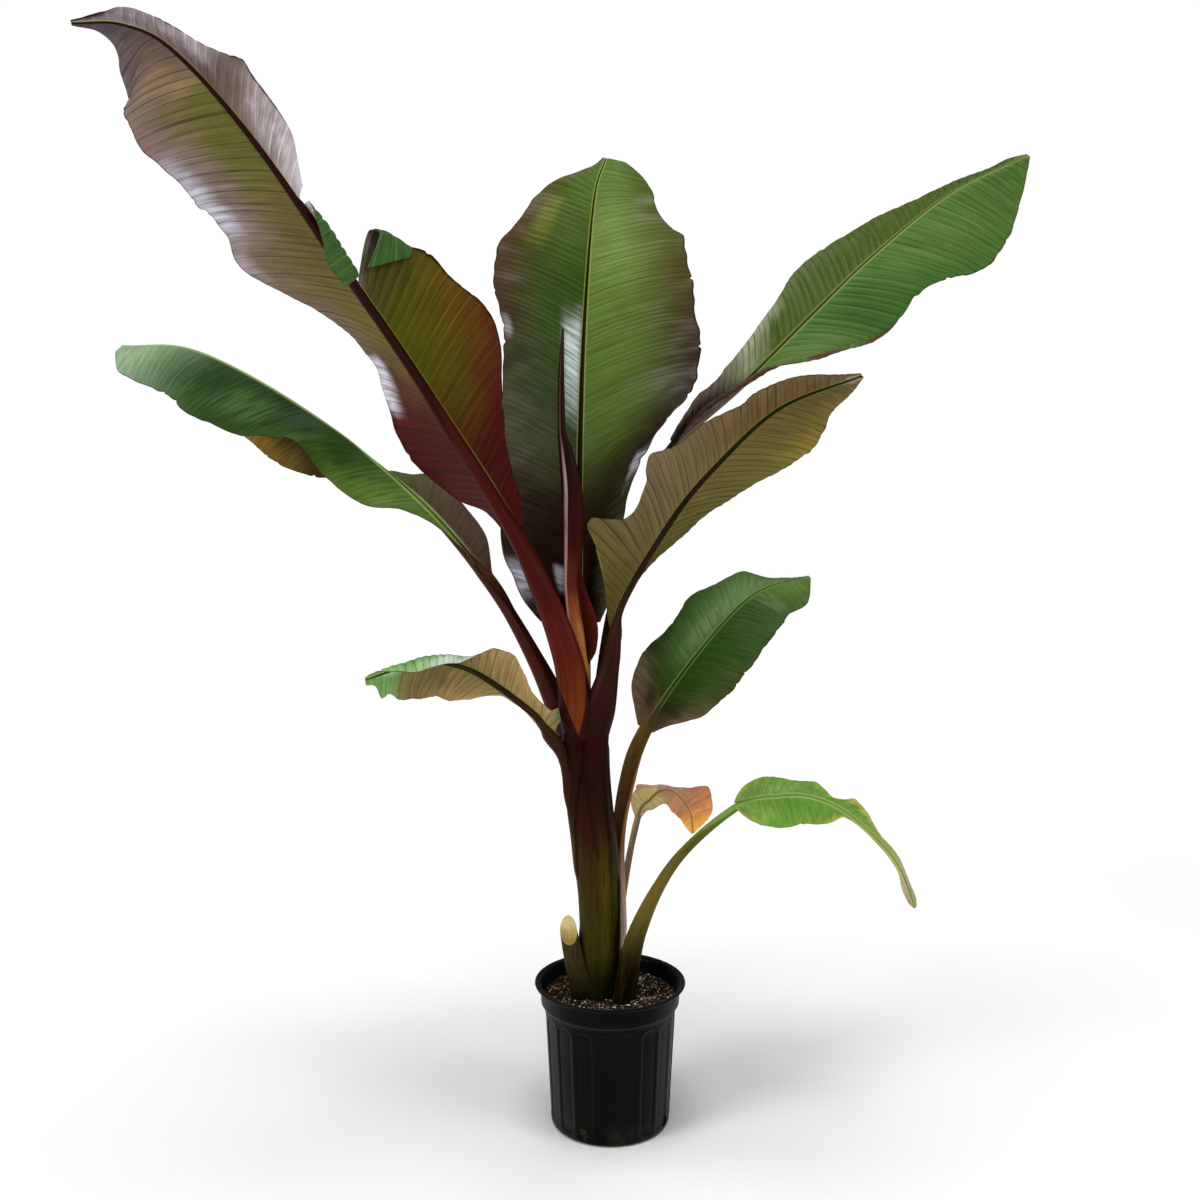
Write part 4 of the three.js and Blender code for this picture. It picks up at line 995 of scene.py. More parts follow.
        under=[(0, "607438"), (0.5, "6a763b"), (0.72, "8c8a4c"), (0.82, "a89878"), (1, "9c8870")],
        under_edge=[(0, "747b3e"), (0.5, "7f7a3e"), (0.72, "a09a58"), (0.82, "ac9c7c"), (1, "9c8870")],
        upper_patches=[(0.2, 0.14, -0.4, 0.4, "81a25e", 0.5), (0.1, 0.08, 0.6, 0.4, "81a34c", 0.4)],
        edge_from=0.5, line=0.16, crease_shade_colour="3c5c1c", rib_colour="94b468", rim_colour="8c8440",
        streaks=0.14, gloss=0.42, dull=0.6),
)
BLADE_FINISH = {name: blade_finish(name + "_finish", look) for name, look in LOOKS.items()}
print("blade finishes", len(BLADE_FINISH))

# %% [markdown]
# Each leaf now runs through the same steps: smooth halves, pleats and finish. A loop keeps them alike, and
# only the depth of the pleats and the wave of the margin differ from leaf to leaf.

# %% Nine blades
# Depth of the pleats and wave of the margin, in metres
RELIEF = dict(front_left_leaf=(0.0021, 0.005), back_leaf=(0.0006, 0.012), back_right_leaf=(0.0024, 0.008),
              front_right_leaf=(0.0026, 0.005), left_leaf=(0.0008, 0.012), low_left_leaf=(0.002, 0.014),
              right_leaf=(0.0008, 0.012), withered_leaf=(0.0008, 0.008), low_right_leaf=(0.0008, 0.008))


def piece_of(name, mesh, *materials):
    """A piece of the plant: an object at the origin with its place in its mesh."""
    piece = bpy.data.objects.new(name, mesh)
    for material in materials:
        mesh.materials.append(material)
    bpy.context.scene.collection.objects.link(piece)
    return piece


def ride_along(piece):
    """The piece rides on the plant."""
    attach(piece, "root")
    print(piece.name, "has", len(piece.data.polygons), "faces")


def settle(piece, *nodes):
    """The piece rides on the plant and stands for all of its nodes, which it hides."""
    ride_along(piece)
    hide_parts(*nodes)


for number, leaf_name in enumerate(LEAVES):
    depth, wave = RELIEF[leaf_name]
    skin = made_by(PLEATS, smooth_blade(leaf_name, number), leaf_name + "_skin", Depth=depth, Wave=wave,
                   Seed=float(number), Finish=BLADE_FINISH[leaf_name])
    tip = [leaf_name + "_tip"] if leaf_name + "_tip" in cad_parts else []
    settle(piece_of(leaf_name + "_pleated", skin), leaf_name + "_blade", *tip)

# %% [markdown]
# ## Stalks and ribs
# The stalk is round below and channelled on top, and it runs on under the blade as the rib, thinner and
# thinner to the tip. A curve with a bevel would have the same section all along. A loft of rings lets the
# section change, and one closed loft for stalk and rib leaves no joint to see where the blade starts. Its
# two rims meet the halves of the blade at their own fold.

# %% Closed lofts and channelled rings
RING_HALF = 14
CHANNEL_SHARE = 0.55


def capped_loft(name, rings, **values):
    """A closed mesh from rings, counter-clockwise as seen from their far end, with a fan at each end."""
    count, around = rings.shape[:2]
    places = np.concatenate([rings.reshape(-1, 3), rings[:1].mean(1), rings[-1:].mean(1)])
    foot, last = count * around, (count - 1) * around
    faces = grid_faces(count, around, wrap=True)
    faces += [[foot, (c + 1) % around, c] for c in range(around)]
    faces += [[foot + 1, last + c, last + (c + 1) % around] for c in range(around)]
    flat = {key: np.ravel(numbers) for key, numbers in values.items()}
    full = {key: np.concatenate([numbers, numbers[[0, -1]]]) for key, numbers in flat.items()}
    return mesh_of(name, places, faces, **full)


def ring_of(half_width, depth, right_fold, left_fold):
    """Across and up places of closed rings: a round underside between two rims, and a channel on top."""
    turn = np.linspace(0, math.pi, RING_HALF + 1)
    ends = [(half_width * np.cos(right_fold), half_width * np.sin(right_fold)),
            (-half_width * np.cos(left_fold), half_width * np.sin(left_fold))]
    (rx, rz), (lx, lz) = [(x[:, None], z[:, None]) for x, z in ends]
    low = np.minimum((rz + lz) / 2, 0) - depth[:, None] / 2
    swing = (1 + np.cos(turn))[None, :] / 2
    belly = np.sin(turn)[None, :]
    x = lx + (rx - lx) * swing
    rim = lz + (rz - lz) * swing
    under = rim + (low - rim) * belly
    channel = rim - CHANNEL_SHARE * depth[:, None] / 2 * belly ** 2
    across = np.concatenate([x[:, ::-1], x[:, 1:-1]], 1)
    up = np.concatenate([under[:, ::-1], channel[:, 1:-1]], 1)
    groove = np.concatenate([np.zeros(RING_HALF + 1), belly[0, 1:-1]])
    return across, up, groove


print("rings of", 2 * RING_HALF, "points")

# %% Stalk and rib lofts
ROOT_ROWS, STALK_ROWS, RIB_ROWS = 6, 60, 120
RIB_TAPER = 1.2
STALK_RIM = 0.62
RIM_FOLDS = (-60, 80)
# Share of the stalk from which its rims turn towards the fold of the blade
RIMS_TURN_FROM = 0.75


def stalk_mesh(name):
    """A leaf's stalk from its root, and the rib that it runs into, as one closed loft."""
    leaf, line = LEAVES[name], LINES[name]
    stalk_share = np.linspace(0, 1, STALK_ROWS)
    blade_share = np.linspace(0, 1, RIB_ROWS + 1)[1:]
    share = np.concatenate([stalk_share * line["base"], line["base"] + blade_share * (1 - line["base"])])
    blade = np.concatenate([np.zeros(STALK_ROWS), blade_share])
    half = np.concatenate([keyed(leaf["stalk"], 1, stalk_share) / 2, rib_half_width(leaf, blade_share)])
    rib_depth = RIB_TIP_WIDTH + (leaf["stalk"][-1][2] - RIB_TIP_WIDTH) * (1 - blade_share) ** RIB_TAPER
    depth = np.concatenate([keyed(leaf["stalk"], 2, stalk_share), rib_depth])
    rim = np.arcsin(np.clip(STALK_RIM * depth / 2 / half, -1, 1))
    meet = np.concatenate([smooth(stalk_share, RIMS_TURN_FROM, 1), np.ones(RIB_ROWS)])
    folds = [rim + (np.radians(np.clip(keyed(leaf[side], 2, blade), *RIM_FOLDS)) - rim) * meet
             for side in ("right", "left")]
    amount, first, last = leaf["flare"]
    swell = 1 + amount * (1 - smooth(share / line["base"], first, last))
    across, up, groove = ring_of(half * swell, depth * swell, *folds)
    place, right, top = frame_at(leaf, line, share)
    rings = place[:, None] + right[:, None] * across[..., None] + top[:, None] * up[..., None]
    sink = np.linspace(0, 1, ROOT_ROWS, endpoint=False)[:, None, None]
    roots = rings[:1] + (np.array(leaf["root"]) - place[0]) * (1 - sink)
    rings = np.concatenate([roots, rings])[:, ::-1]
    count, around = rings.shape[:2]
    along = np.repeat(np.concatenate([np.zeros(ROOT_ROWS), share]), around)
    return capped_loft(name + "_stalk_loft", rings, along=along, groove=np.tile(groove[::-1], count),
                       around=np.tile(np.linspace(0, 1, around)[::-1], count))


print("rings in each stalk and rib", ROOT_ROWS + STALK_ROWS + RIB_ROWS)

# %% [markdown]
# A stalk's finish runs along it too: dark sheath colours at the trunk, then the red or green of the rib, and
# a ramp of its own for the channel on top. A noise that is alike in all directions would look like stone.
# Real fibres run lengthwise, so the noise is stretched along the stalk. The front stalk comes out of the
# trunk between two dark sheaths, so its orange foot is a narrow V.

# %% Stalk finish
# The V in metres: height and x of its tip, and height and x where its left and right side end
FORK_TIP = (0.694, -0.055)
FORK_LEFT = (0.815, -0.104)
FORK_RIGHT = (0.745, -0.043)
FORK_SOFT = 0.002
SHEATH_DARK = "280a06"
# How fast fibres change round the stalk and along it, and how much of their colour shows
FIBRE_STRETCH = (26.0, 9.0)
FIBRE_SHOWS = (0.42, 0.7, 0.0, 0.5)
STALK_SWAY = 0.08
CHANNEL_FROM = (0.1, 0.6)
FLECK_RANGE = (0.6, 0.72)
FLECK_COLOUR = "241810"
USUAL_FLECKS = 0.35


def fork_share(tree, place):
    """1 inside the V of the fork and 0 on the sheaths beside it."""
    x, _, z = add(tree, "ShaderNodeSeparateXYZ", {0: place}).outputs
    share = eased(tree, z, FORK_TIP[0], FORK_TIP[0] + FORK_SOFT)
    for (height, side), sign in ((FORK_LEFT, 1.0), (FORK_RIGHT, -1.0)):
        places = {0: z, 1: FORK_TIP[0], 2: height, 3: FORK_TIP[1], 4: side}
        border = add(tree, "ShaderNodeMapRange", places, clamp=sign < 0).outputs[0]
        inside = times(tree, math_of(tree, "SUBTRACT", x, border), sign)
        share = times(tree, eased(tree, inside, -FORK_SOFT, FORK_SOFT), share)
    return share


def stalk_finish(name, look):
    material, tree, shader = finish_of(name)
    along, around, groove = (read(tree, key) for key in ("along", "around", "groove"))
    place = own_place(tree)
    round_it, along_it = (times(tree, *pair) for pair in zip((around, along), FIBRE_STRETCH))
    lengthwise = add(tree, "ShaderNodeCombineXYZ", {0: round_it, 1: along_it}).outputs[0]
    fibre = noise_on(tree, lengthwise, scale=1.0, detail=4.0)
    ramp = swayed(tree, along, noise_on(tree, place, scale=14.0), STALK_SWAY)
    colour = mixed(tree, eased(tree, groove, *CHANNEL_FROM), stops_of(tree, ramp, look["outer"]),
                   stops_of(tree, ramp, look["channel"]))
    if look.get("forked"):
        colour = mixed(tree, fork_share(tree, place), SHEATH_DARK, colour)
    colour = mixed(tree, eased(tree, fibre, *FIBRE_SHOWS), colour, look["fibre"])
    fleck = eased(tree, noise_on(tree, place, scale=160.0, detail=2.0), *FLECK_RANGE, 0.0,
                  look.get("flecks", USUAL_FLECKS))
    dress(tree, shader, mixed(tree, fleck, colour, FLECK_COLOUR), fibre, roughness=(0.34, 0.5), grain=fibre,
          bump=(0.3, 0.0008))
    return material


print("the fork's V starts at", FORK_TIP[0], "m")

# %% [markdown]
# The nine stalks differ as the blades do, from the grey foot of the right one to the dry straw of the
# withered one, so each has its own ramps from its root at 0 to the leaf's tip at 1.

# %% Nine stalks
STALK_LOOKS = dict(
    front_left_leaf=dict(
        outer=[(0, "6e3210"), (0.05, "6a2e10"), (0.11, "58180a"), (0.2, "46100a"), (0.34, "44100a"),
               (0.6, "40120e"), (1, "2c1210")],
        channel=[(0, "4a2010"), (0.3, "46541c"), (1, "44501c")],
        fibre="280a08", forked=True),
    back_leaf=dict(
        outer=[(0, "341008"), (0.3, "30140c"), (1, "483a1c")],
        channel=[(0, "34140a"), (0.2, "20120a"), (0.6, "281a0c"), (1, "2c3010")],
        fibre="180a06"),
    back_right_leaf=dict(
        outer=[(0, "5c2012"), (0.2, "5a2c1c"), (0.3, "6a5a4a"), (1, "4c4022")],
        channel=[(0, "36180e"), (0.25, "4a3822"), (0.36, "5c5a30"), (0.5, "6a7838"), (1, "6c8040")],
        fibre="2c1c0e"),
    front_right_leaf=dict(
        outer=[(0, "220a06"), (0.1, "30100a"), (0.25, "341a10"), (0.5, "20100a"), (1, "241608")],
        channel=[(0, "40160e"), (0.2, "481810"), (0.35, "3a3014"), (0.6, "3a4618"), (1, "384418")],
        fibre="180a06"),
    left_leaf=dict(
        outer=[(0, "3a120c"), (0.14, "42160e"), (0.26, "44241c"), (0.36, "443020"), (0.5, "40301c"),
               (1, "44421f")],
        channel=[(0, "4a120e"), (0.2, "4c1c14"), (0.3, "46301e"), (0.4, "6c8040"), (1, "748c48")],
        fibre="200c08"),
    low_left_leaf=dict(
        outer=[(0, "36180e"), (0.3, "381c10"), (0.5, "2a180e"), (1, "3c3a1c")],
        channel=[(0, "401c12"), (0.5, "46541f"), (1, "548038")],
        fibre="1c0e08"),
    right_leaf=dict(
        outer=[(0, "b49a8c"), (0.14, "a48070"), (0.2, "805028"), (0.4, "84582c"), (0.5, "786030"),
               (1, "607440")],
        channel=[(0, "7c5a48"), (0.3, "74502a"), (0.5, "6e5a30"), (0.58, "506a2c"), (1, "6c8c50")],
        fibre="2c140a"),
    withered_leaf=dict(
        outer=[(0, "8c6840"), (0.4, "94703c"), (0.62, "c8b48c"), (0.8, "c89878"), (1, "e8a860")],
        channel=[(0, "a08058"), (0.5, "c8b890"), (0.75, "cc9c7c"), (1, "e8a860")],
        fibre="a87850"),
    low_right_leaf=dict(
        outer=[(0, "0c0802"), (0.07, "140c02"), (0.1, "241a06"), (0.145, "463a12"), (0.2, "6a5c22"),
               (0.3, "665826"), (0.42, "5c5a1c"), (0.5, "608030"), (0.64, "74943c"), (0.8, "8c9a48"),
               (0.9, "a89868"), (1, "9c8468")],
        channel=[(0, "3c2410"), (0.06, "5c3a18"), (0.2, "64481c"), (0.32, "5c5c24"), (0.4, "6c8c3c"),
                 (0.64, "84a858"), (0.8, "98a458"), (0.9, "b0a070"), (1, "9c8468")],
        fibre="3c300e"),
)
for leaf_name in LEAVES:
    stalk = piece_of(leaf_name + "_channelled", stalk_mesh(leaf_name),
                     stalk_finish(leaf_name + "_stalk_finish", STALK_LOOKS[leaf_name]))
    settle(stalk, leaf_name + "_stalk")

# %% [markdown]
# ## Trunk
# A banana's trunk is no wood. It is a roll of leaf sheaths, each wrapped over the next, and their edges are
# the long lines on it. Separate sheets would leave gaps at every overlap, so the trunk is one closed loft.
# Its stations are close to the model's, each sheath edge is a step in its radius along a line of heights and
# angles, and it swells round every stalk that leaves it. Angles are compass turns, with the viewer at -90
# degrees.

# %% Lobes of the stalks in the trunk
# Stations: height, middle x and y, half width, half depth
TRUNK = [[228, -20, 0, 33, 37], [262, -18, 0, 33, 36], [317, -18, 0, 37, 37], [393, -20, 0, 38, 39],
         [479, -26, 0, 42, 41], [564, -36, 0, 42, 41], [644, -44, 0, 44, 42], [690, -46, 0, 46, 43]]
LOBE_PLACES = 260
# How far a stalk's lobe sinks in, the heights above its root between which it does, and where it lets go
LOBE_INSIDE, LOBE_SINKS = 6.0, (60, 140)
LOBE_LETS_GO = 14


def stalk_lobes(height, turn):
    """How far the stalks reach out of the trunk's middle, for each turn, while they still belong to it."""
    x, y, girth = (keyed(TRUNK, column, height) for column in (1, 2, 3))
    angle = np.radians(turn)
    reach = np.zeros(np.broadcast(height, turn).shape)
    for name, leaf in LEAVES.items():
        course = np.vstack([leaf["root"], LINES[name]["places"][:LOBE_PLACES]])
        cx, cy = (np.interp(height, course[:, 2], course[:, k]) - middle for k, middle in ((0, x), (1, y)))
        radius = (leaf["stalk"][0][1] + leaf["stalk"][0][2]) / 4 * (1 + leaf["flare"][0])
        radius = radius - LOBE_INSIDE * smooth(height - course[0, 2], *LOBE_SINKS)
        far = np.hypot(cx, cy)
        toward = cx * np.cos(angle) + cy * np.sin(angle)
        edge = toward + np.sqrt(np.maximum(radius ** 2 - far ** 2 + toward ** 2, 0))
        belongs = (height > course[0, 2]) & (height < course[-1, 2]) & (radius ** 2 > far ** 2 - toward ** 2)
        reach = np.maximum(reach, edge * belongs * (1 - smooth(far - girth, 0, LOBE_LETS_GO)))
    return reach


print("the trunk has", len(TRUNK), "stations")

# %% Trunk loft
TRUNK_LOW, TRUNK_TOP = 198, 730
TRUNK_ROWS, TRUNK_SIDES = 170, 160
# Heights between which the foot narrows and its swell, and where the top starts to close and by how much
FOOT_HEIGHTS, FOOT_SWELL = (215, 250), 0.06
CLOSE_FROM, CLOSE_BY = 660, 0.5
# Sheath edges: line of height and angle, side that is raised, step in millimetres, reach in degrees
SHEATH_EDGES = [
    ([(222, -85), (247, -120), (291, -145), (350, -165)], -1, 3.0, 40),
    ([(222, -78), (244, -50), (269, -28), (307, -33), (380, -24), (450, -20)], 1, 3.0, 40),
    ([(470, -82), (560, -90), (640, -92), (704, -90)], 1, 2.6, 45),
    ([(430, -150), (520, -135), (580, -118), (640, -97), (700, -90)], -1, 3.0, 45),
    ([(300, -58), (420, -52), (560, -46), (704, -40)], 1, 1.6, 30),
    ([(260, 60), (420, 75), (560, 85), (704, 92)], 1, 2.6, 45),
    ([(240, 150), (400, 140), (560, 150), (704, 160)], -1, 2.6, 45),
]
UNDER_SHEATHS = 1.5
EDGE_SOFT = 2.2
EDGE_FADE = 22
LOBE_BLEND = 3.0


def trunk_surface(height, turn):
    """Places for heights in millimetres and turns in degrees, and how near a sheath edge they are."""
    x, y, half_width, half_depth = (keyed(TRUNK, column, height) for column in (1, 2, 3, 4))
    lift = np.zeros(np.broadcast(height, turn).shape)
    near_edge = np.zeros_like(lift)
    for points, side, step, reach in SHEATH_EDGES:
        heights, turns = zip(*points)
        away = ((turn - np.interp(height, heights, turns) + 180) % 360 - 180) * side
        ends = smooth(height, heights[0], heights[0] + EDGE_FADE)
        ends = ends * (1 - smooth(height, heights[-1] - EDGE_FADE, heights[-1]))
        lift += step * smooth(away, -EDGE_SOFT, EDGE_SOFT) * np.exp(-np.maximum(away, 0) / reach) * ends
        near_edge = np.maximum(near_edge, np.exp(-(away / (2 * EDGE_SOFT)) ** 2) * ends)
    taper = 1 - CLOSE_BY * smooth(height, CLOSE_FROM, TRUNK_TOP)
    taper = taper + FOOT_SWELL * (1 - smooth(height, *FOOT_HEIGHTS))
    angle = np.radians(turn)
    wide, deep = (half - UNDER_SHEATHS + lift for half in (half_width, half_depth))
    own = taper * np.hypot(wide * np.cos(angle), deep * np.sin(angle))
    both = LOBE_BLEND * np.logaddexp(own / LOBE_BLEND, stalk_lobes(height, turn) / LOBE_BLEND)
    places = np.stack([x + both * np.cos(angle), y + both * np.sin(angle), height + 0 * lift], -1)
    return places, near_edge


heights = np.linspace(TRUNK_LOW, TRUNK_TOP, TRUNK_ROWS)[:, None]
turns = np.linspace(-180, 180, TRUNK_SIDES, endpoint=False)[None, :]
trunk_places, near_edge = trunk_surface(heights, turns)
trunk_skin = capped_loft("trunk_loft", trunk_places, near=near_edge, high=heights + 0 * turns,
                         turn=turns + 0 * heights)
print("sheath edges", len(SHEATH_EDGES))

# %% [markdown]
# The trunk is nearly black maroon under the fork and turns olive lower down, with a yellow stripe of
# painted light to the right of the middle, a dry grey strip at its left, dark lines at the sheath edges and
# black flecks. A flat picture would have to be wrapped round it. The loft carries its heights and turns as
# numbers, so every band is placed by them.

# %% Trunk finish
TRUNK_SHINE = 0.02
TRUNK_RAMP = [(0, "100e02"), (0.08, "1e1c06"), (0.17, "302e0c"), (0.3, "34300c"), (0.5, "38280c"),
              (0.66, "2e1608"), (0.85, "240b06"), (1, SHEATH_DARK)]
TRUNK_SWAY = 0.3
# Noises on the trunk are drawn out upwards by this share
UPWARD = 0.09
# The stripe of painted light and the dry strip: soft border in degrees, then the heights where they start,
# are full, and end
LIT_STRIPE_TURN = -62
LIT_STRIPE_BORDER = (2.0, 30.0)
LIT_STRIPE_HEIGHTS = (230.0, 330.0, 410.0, 540.0)
DRY_BORDER = (160.0, 168.0)
DRY_HEIGHTS = (380.0, 420.0, 540.0, 580.0)
STRIP_STRENGTH = 0.85
LIT_STRIPE_COLOUR, DRY_COLOUR, FORK_ORANGE = "4e460c", "a8968c", "6a2e10"
TRUNK_FIBRE_SHOWS, TRUNK_FIBRE_COLOUR = (0.5, 0.75, 0.0, 0.55), "140c06"
TRUNK_FLECK_SHOWS, TRUNK_FLECK_COLOUR = (0.62, 0.7, 0.0, 0.7), "0c0804"
EDGE_STRENGTH, EDGE_COLOUR = 0.65, "0c0604"


def between(tree, value, start, full, fade, end):
    """1 between full and fade, and 0 before start and after end."""
    return times(tree, eased(tree, value, start, full), eased(tree, value, fade, end, 1.0, 0.0))


def trunk_finish():
    material, tree, shader = finish_of("sheath_finish", TRUNK_SHINE)
    high, turn, edge = (read(tree, key) for key in ("high", "turn", "near"))
    place = own_place(tree)
    upward = add(tree, "ShaderNodeMapping", {"Vector": place, "Scale": (1, 1, UPWARD)}).outputs[0]
    fibre = noise_on(tree, upward, scale=190.0, detail=4.0)
    patch = noise_on(tree, upward, scale=40.0)
    share = add(tree, "ShaderNodeMapRange", {0: high, 1: TRUNK[0][0], 2: TRUNK[-1][0]}).outputs[0]
    colour = stops_of(tree, swayed(tree, share, patch, TRUNK_SWAY), TRUNK_RAMP)
    # Painted light: a lit yellow stripe to the right of the middle
    away = math_of(tree, "ABSOLUTE", math_of(tree, "SUBTRACT", turn, LIT_STRIPE_TURN))
    lit_stripe = times(tree, eased(tree, away, *LIT_STRIPE_BORDER, STRIP_STRENGTH, 0.0),
                   between(tree, high, *LIT_STRIPE_HEIGHTS))
    colour = mixed(tree, lit_stripe, colour, LIT_STRIPE_COLOUR)
    colour = mixed(tree, fork_share(tree, place), colour, FORK_ORANGE)
    dry = times(tree, eased(tree, math_of(tree, "ABSOLUTE", turn), *DRY_BORDER, 0.0, STRIP_STRENGTH),
                between(tree, high, *DRY_HEIGHTS))
    colour = mixed(tree, dry, colour, DRY_COLOUR)
    colour = mixed(tree, eased(tree, fibre, *TRUNK_FIBRE_SHOWS), colour, TRUNK_FIBRE_COLOUR)
    fleck = eased(tree, noise_on(tree, upward, scale=420.0, detail=2.0), *TRUNK_FLECK_SHOWS)
    colour = mixed(tree, fleck, colour, TRUNK_FLECK_COLOUR)
    colour = mixed(tree, times(tree, edge, EDGE_STRENGTH), colour, EDGE_COLOUR)
    dress(tree, shader, colour, fibre, roughness=(0.36, 0.52), grain=fibre, bump=(0.35, 0.001))
    return material


trunk = piece_of("trunk_sheaths", trunk_skin, trunk_finish())
settle(trunk, "pseudostem")

# %% [markdown]
# ## The new leaf
# The youngest leaf stands in the middle and is still rolled like a scroll. A plain cone would show no free
# edge. A ring whose radius grows through the turn and steps back at its end gives the roll and that edge,
# and a slow twist lets the edge climb round.

# %% Rolled leaf
# Stations: share, x, y, height, half width, half depth
SPEAR = [[0, -46, 2, 660, 11, 9], [0.12, -47, 2, 790, 12, 10], [0.2, -53, 6, 850, 13, 11],
         [0.3, -64, 11, 925, 14, 12], [0.36, -67, 13, 963, 14, 13], [0.47, -65, 15, 1027, 17, 14],
         [0.6, -66, 18, 1110, 19, 15], [0.72, -79, 19, 1199, 12, 10], [0.77, -86, 20, 1235, 7, 6],
         [0.86, -87, 21, 1310, 6, 6], [1, -84, 24, 1411, 2, 2]]
SPEAR_ROWS, SPEAR_SIDES = 200, 44
SCROLL_STEP = 0.26
SCROLL_START, SCROLL_TWIST = -165, 75
FREE_EDGE_FROM = 0.93
# The foot's orange from 0.12 to 0.21 is its own colour made lighter as painted light, to make up for the
# shade of the stalks above it.
SPEAR_LOOK = dict(
    outer=[(0, "a85820"), (0.12, "e89850"), (0.21, "e89454"), (0.26, "b86438"), (0.33, "702e20"),
           (0.46, "4c1814"), (0.6, "3c1412"), (0.7, "24120a"), (1, "2c1c0e")],
    channel=[(0, "a05c34"), (0.3, "c0948c"), (0.65, "c8a8a4"), (0.74, "6c4a40"), (1, "402c1c")],
    fibre="180606", flecks=0.15)


def scroll_mesh():
    share = np.linspace(0, 1, SPEAR_ROWS)[:, None]
    x, y, z, half_width, half_depth = (keyed(SPEAR, column, share) for column in range(1, 6))
    lap = np.linspace(0, 1, SPEAR_SIDES)[None, :]
    angle = np.radians(SCROLL_START + SCROLL_TWIST * share + 360 * lap)
    radius = 1 - SCROLL_STEP / 2 + SCROLL_STEP * lap
    rings = np.stack([x + half_width * radius * np.cos(angle), y + half_depth * radius * np.sin(angle),
                      z + 0 * lap], -1)
    return capped_loft("scroll", rings, along=share + 0 * lap, around=lap + 0 * share,
                       groove=smooth(lap, FREE_EDGE_FROM, 1.0) + 0 * share)


spear = piece_of("rolled_leaf", scroll_mesh(), stalk_finish("rolled_leaf_finish", SPEAR_LOOK))
settle(spear, "spear_leaf")

# %% [markdown]
# Low on the roll one lobe of the new blade has already opened. It could be pulled out of the roll's own
# mesh, but a small sheet beside it is simpler, and it goes through the same pleat tree as the big blades.

# %% Open lobe of the new leaf
# Width along the lobe, and the heights of its two ends
LOBE_WIDTH = [[0, 2], [0.25, 14], [0.6, 26], [0.85, 18], [1, 2]]
LOBE_ROWS, LOBE_COLUMNS = 40, 12
LOBE_HIGH, LOBE_LOW = 992, 824
LOBE_PLEATS = 9
# Share of the roll's half width where the lobe starts, its lean at the roll and at the margin, and its droop
LOBE_START = 0.8
LOBE_LEAN = (-70, -10)
LOBE_DEEP = 0.5
LOBE_DROOP = 8
LOBE_LOOK = dict(
    upper=[(0, "3c0e0a"), (1, "4a140c")], upper_edge=[(0, "4a120e"), (1, "5a1a10")],
    under=[(0, "440e0c"), (1, "4c140e")], under_edge=[(0, "4c120e"), (1, "561a10")],
    rib_colour="3c0e0a", rim_colour="8c4434", line=0.2, streaks=0.1)


def lobe_mesh():
    row = np.linspace(0, 1, LOBE_ROWS)[:, None]
    out = np.linspace(0, 1, LOBE_COLUMNS)[None, :]
    z = LOBE_HIGH + (LOBE_LOW - LOBE_HIGH) * row
    stations = [[s[3]] + s[1:3] + s[4:] for s in SPEAR]
    x, y, half_width, half_depth = (keyed(stations, column, z) for column in (1, 2, 3, 4))
    width = keyed(LOBE_WIDTH, 1, row)
    lean = np.radians(LOBE_LEAN[0] + (LOBE_LEAN[1] - LOBE_LEAN[0]) * out)
    places = np.stack([x + half_width * LOBE_START + width * out * np.cos(lean / 2),
                       y - half_depth * LOBE_START + width * out * np.sin(lean) * LOBE_DEEP,
                       z - LOBE_DROOP * out], -1)
    faces = [quad[::-1] for quad in grid_faces(LOBE_ROWS, LOBE_COLUMNS)]
    return mesh_of("lobe", places.reshape(-1, 3), faces, along=row + 0 * out, across=out + 0 * row,
                   inset=out * width * MM, vein=row * LOBE_PLEATS + 0 * out)


lobe_finish = blade_finish("lobe_finish", LOBE_LOOK)
lobe_skin = made_by(PLEATS, lobe_mesh(), "lobe_skin", Depth=0.0005, Wave=0.003, Seed=21.0,
                    Finish=lobe_finish)
ride_along(piece_of("new_leaf_lobe", lobe_skin))

# %% [markdown]
# ## Cut stump
# An old stalk was cut away at the left of the trunk, and its slanting cut is pale and dry. A rod could be
# cut with a second solid, but an oval loft whose rings tilt more and more up to the slant needs no cutter.

# %% Cut stump
# Stations: height, x, y, half width, half depth
STUMP = [[198, -45, -25, 23, 13], [228, -48, -25, 22, 13], [290, -62, -21, 19, 12], [335, -72, -19, 16, 11],
         [375, -78, -17, 14, 10]]
STUMP_ROWS, STUMP_SIDES = 40, 48
# Height of the cut in the stump's middle, and its rise to the right and to the back
CUT_LEVEL = 345
CUT_RISE = (0.25, 2.1)
# The cut's colours from its lower end to its upper one, and the heights of these in metres
CUT_RAMP = [(0.1, "88743e"), (0.5, "a8945c"), (0.9, "ccb880")]
CUT_HEIGHTS = (0.322, 0.362)
CUT_SWAY = 0.6
STUMP_LOOK = dict(
    outer=[(0, "0c0a02"), (0.3, "161206"), (0.55, "2e2810"), (0.75, "382e16"), (1, "3a301a")],
    channel=[(0, "16140a"), (0.6, "3c3418"), (1, "5c5228")], fibre="181206")


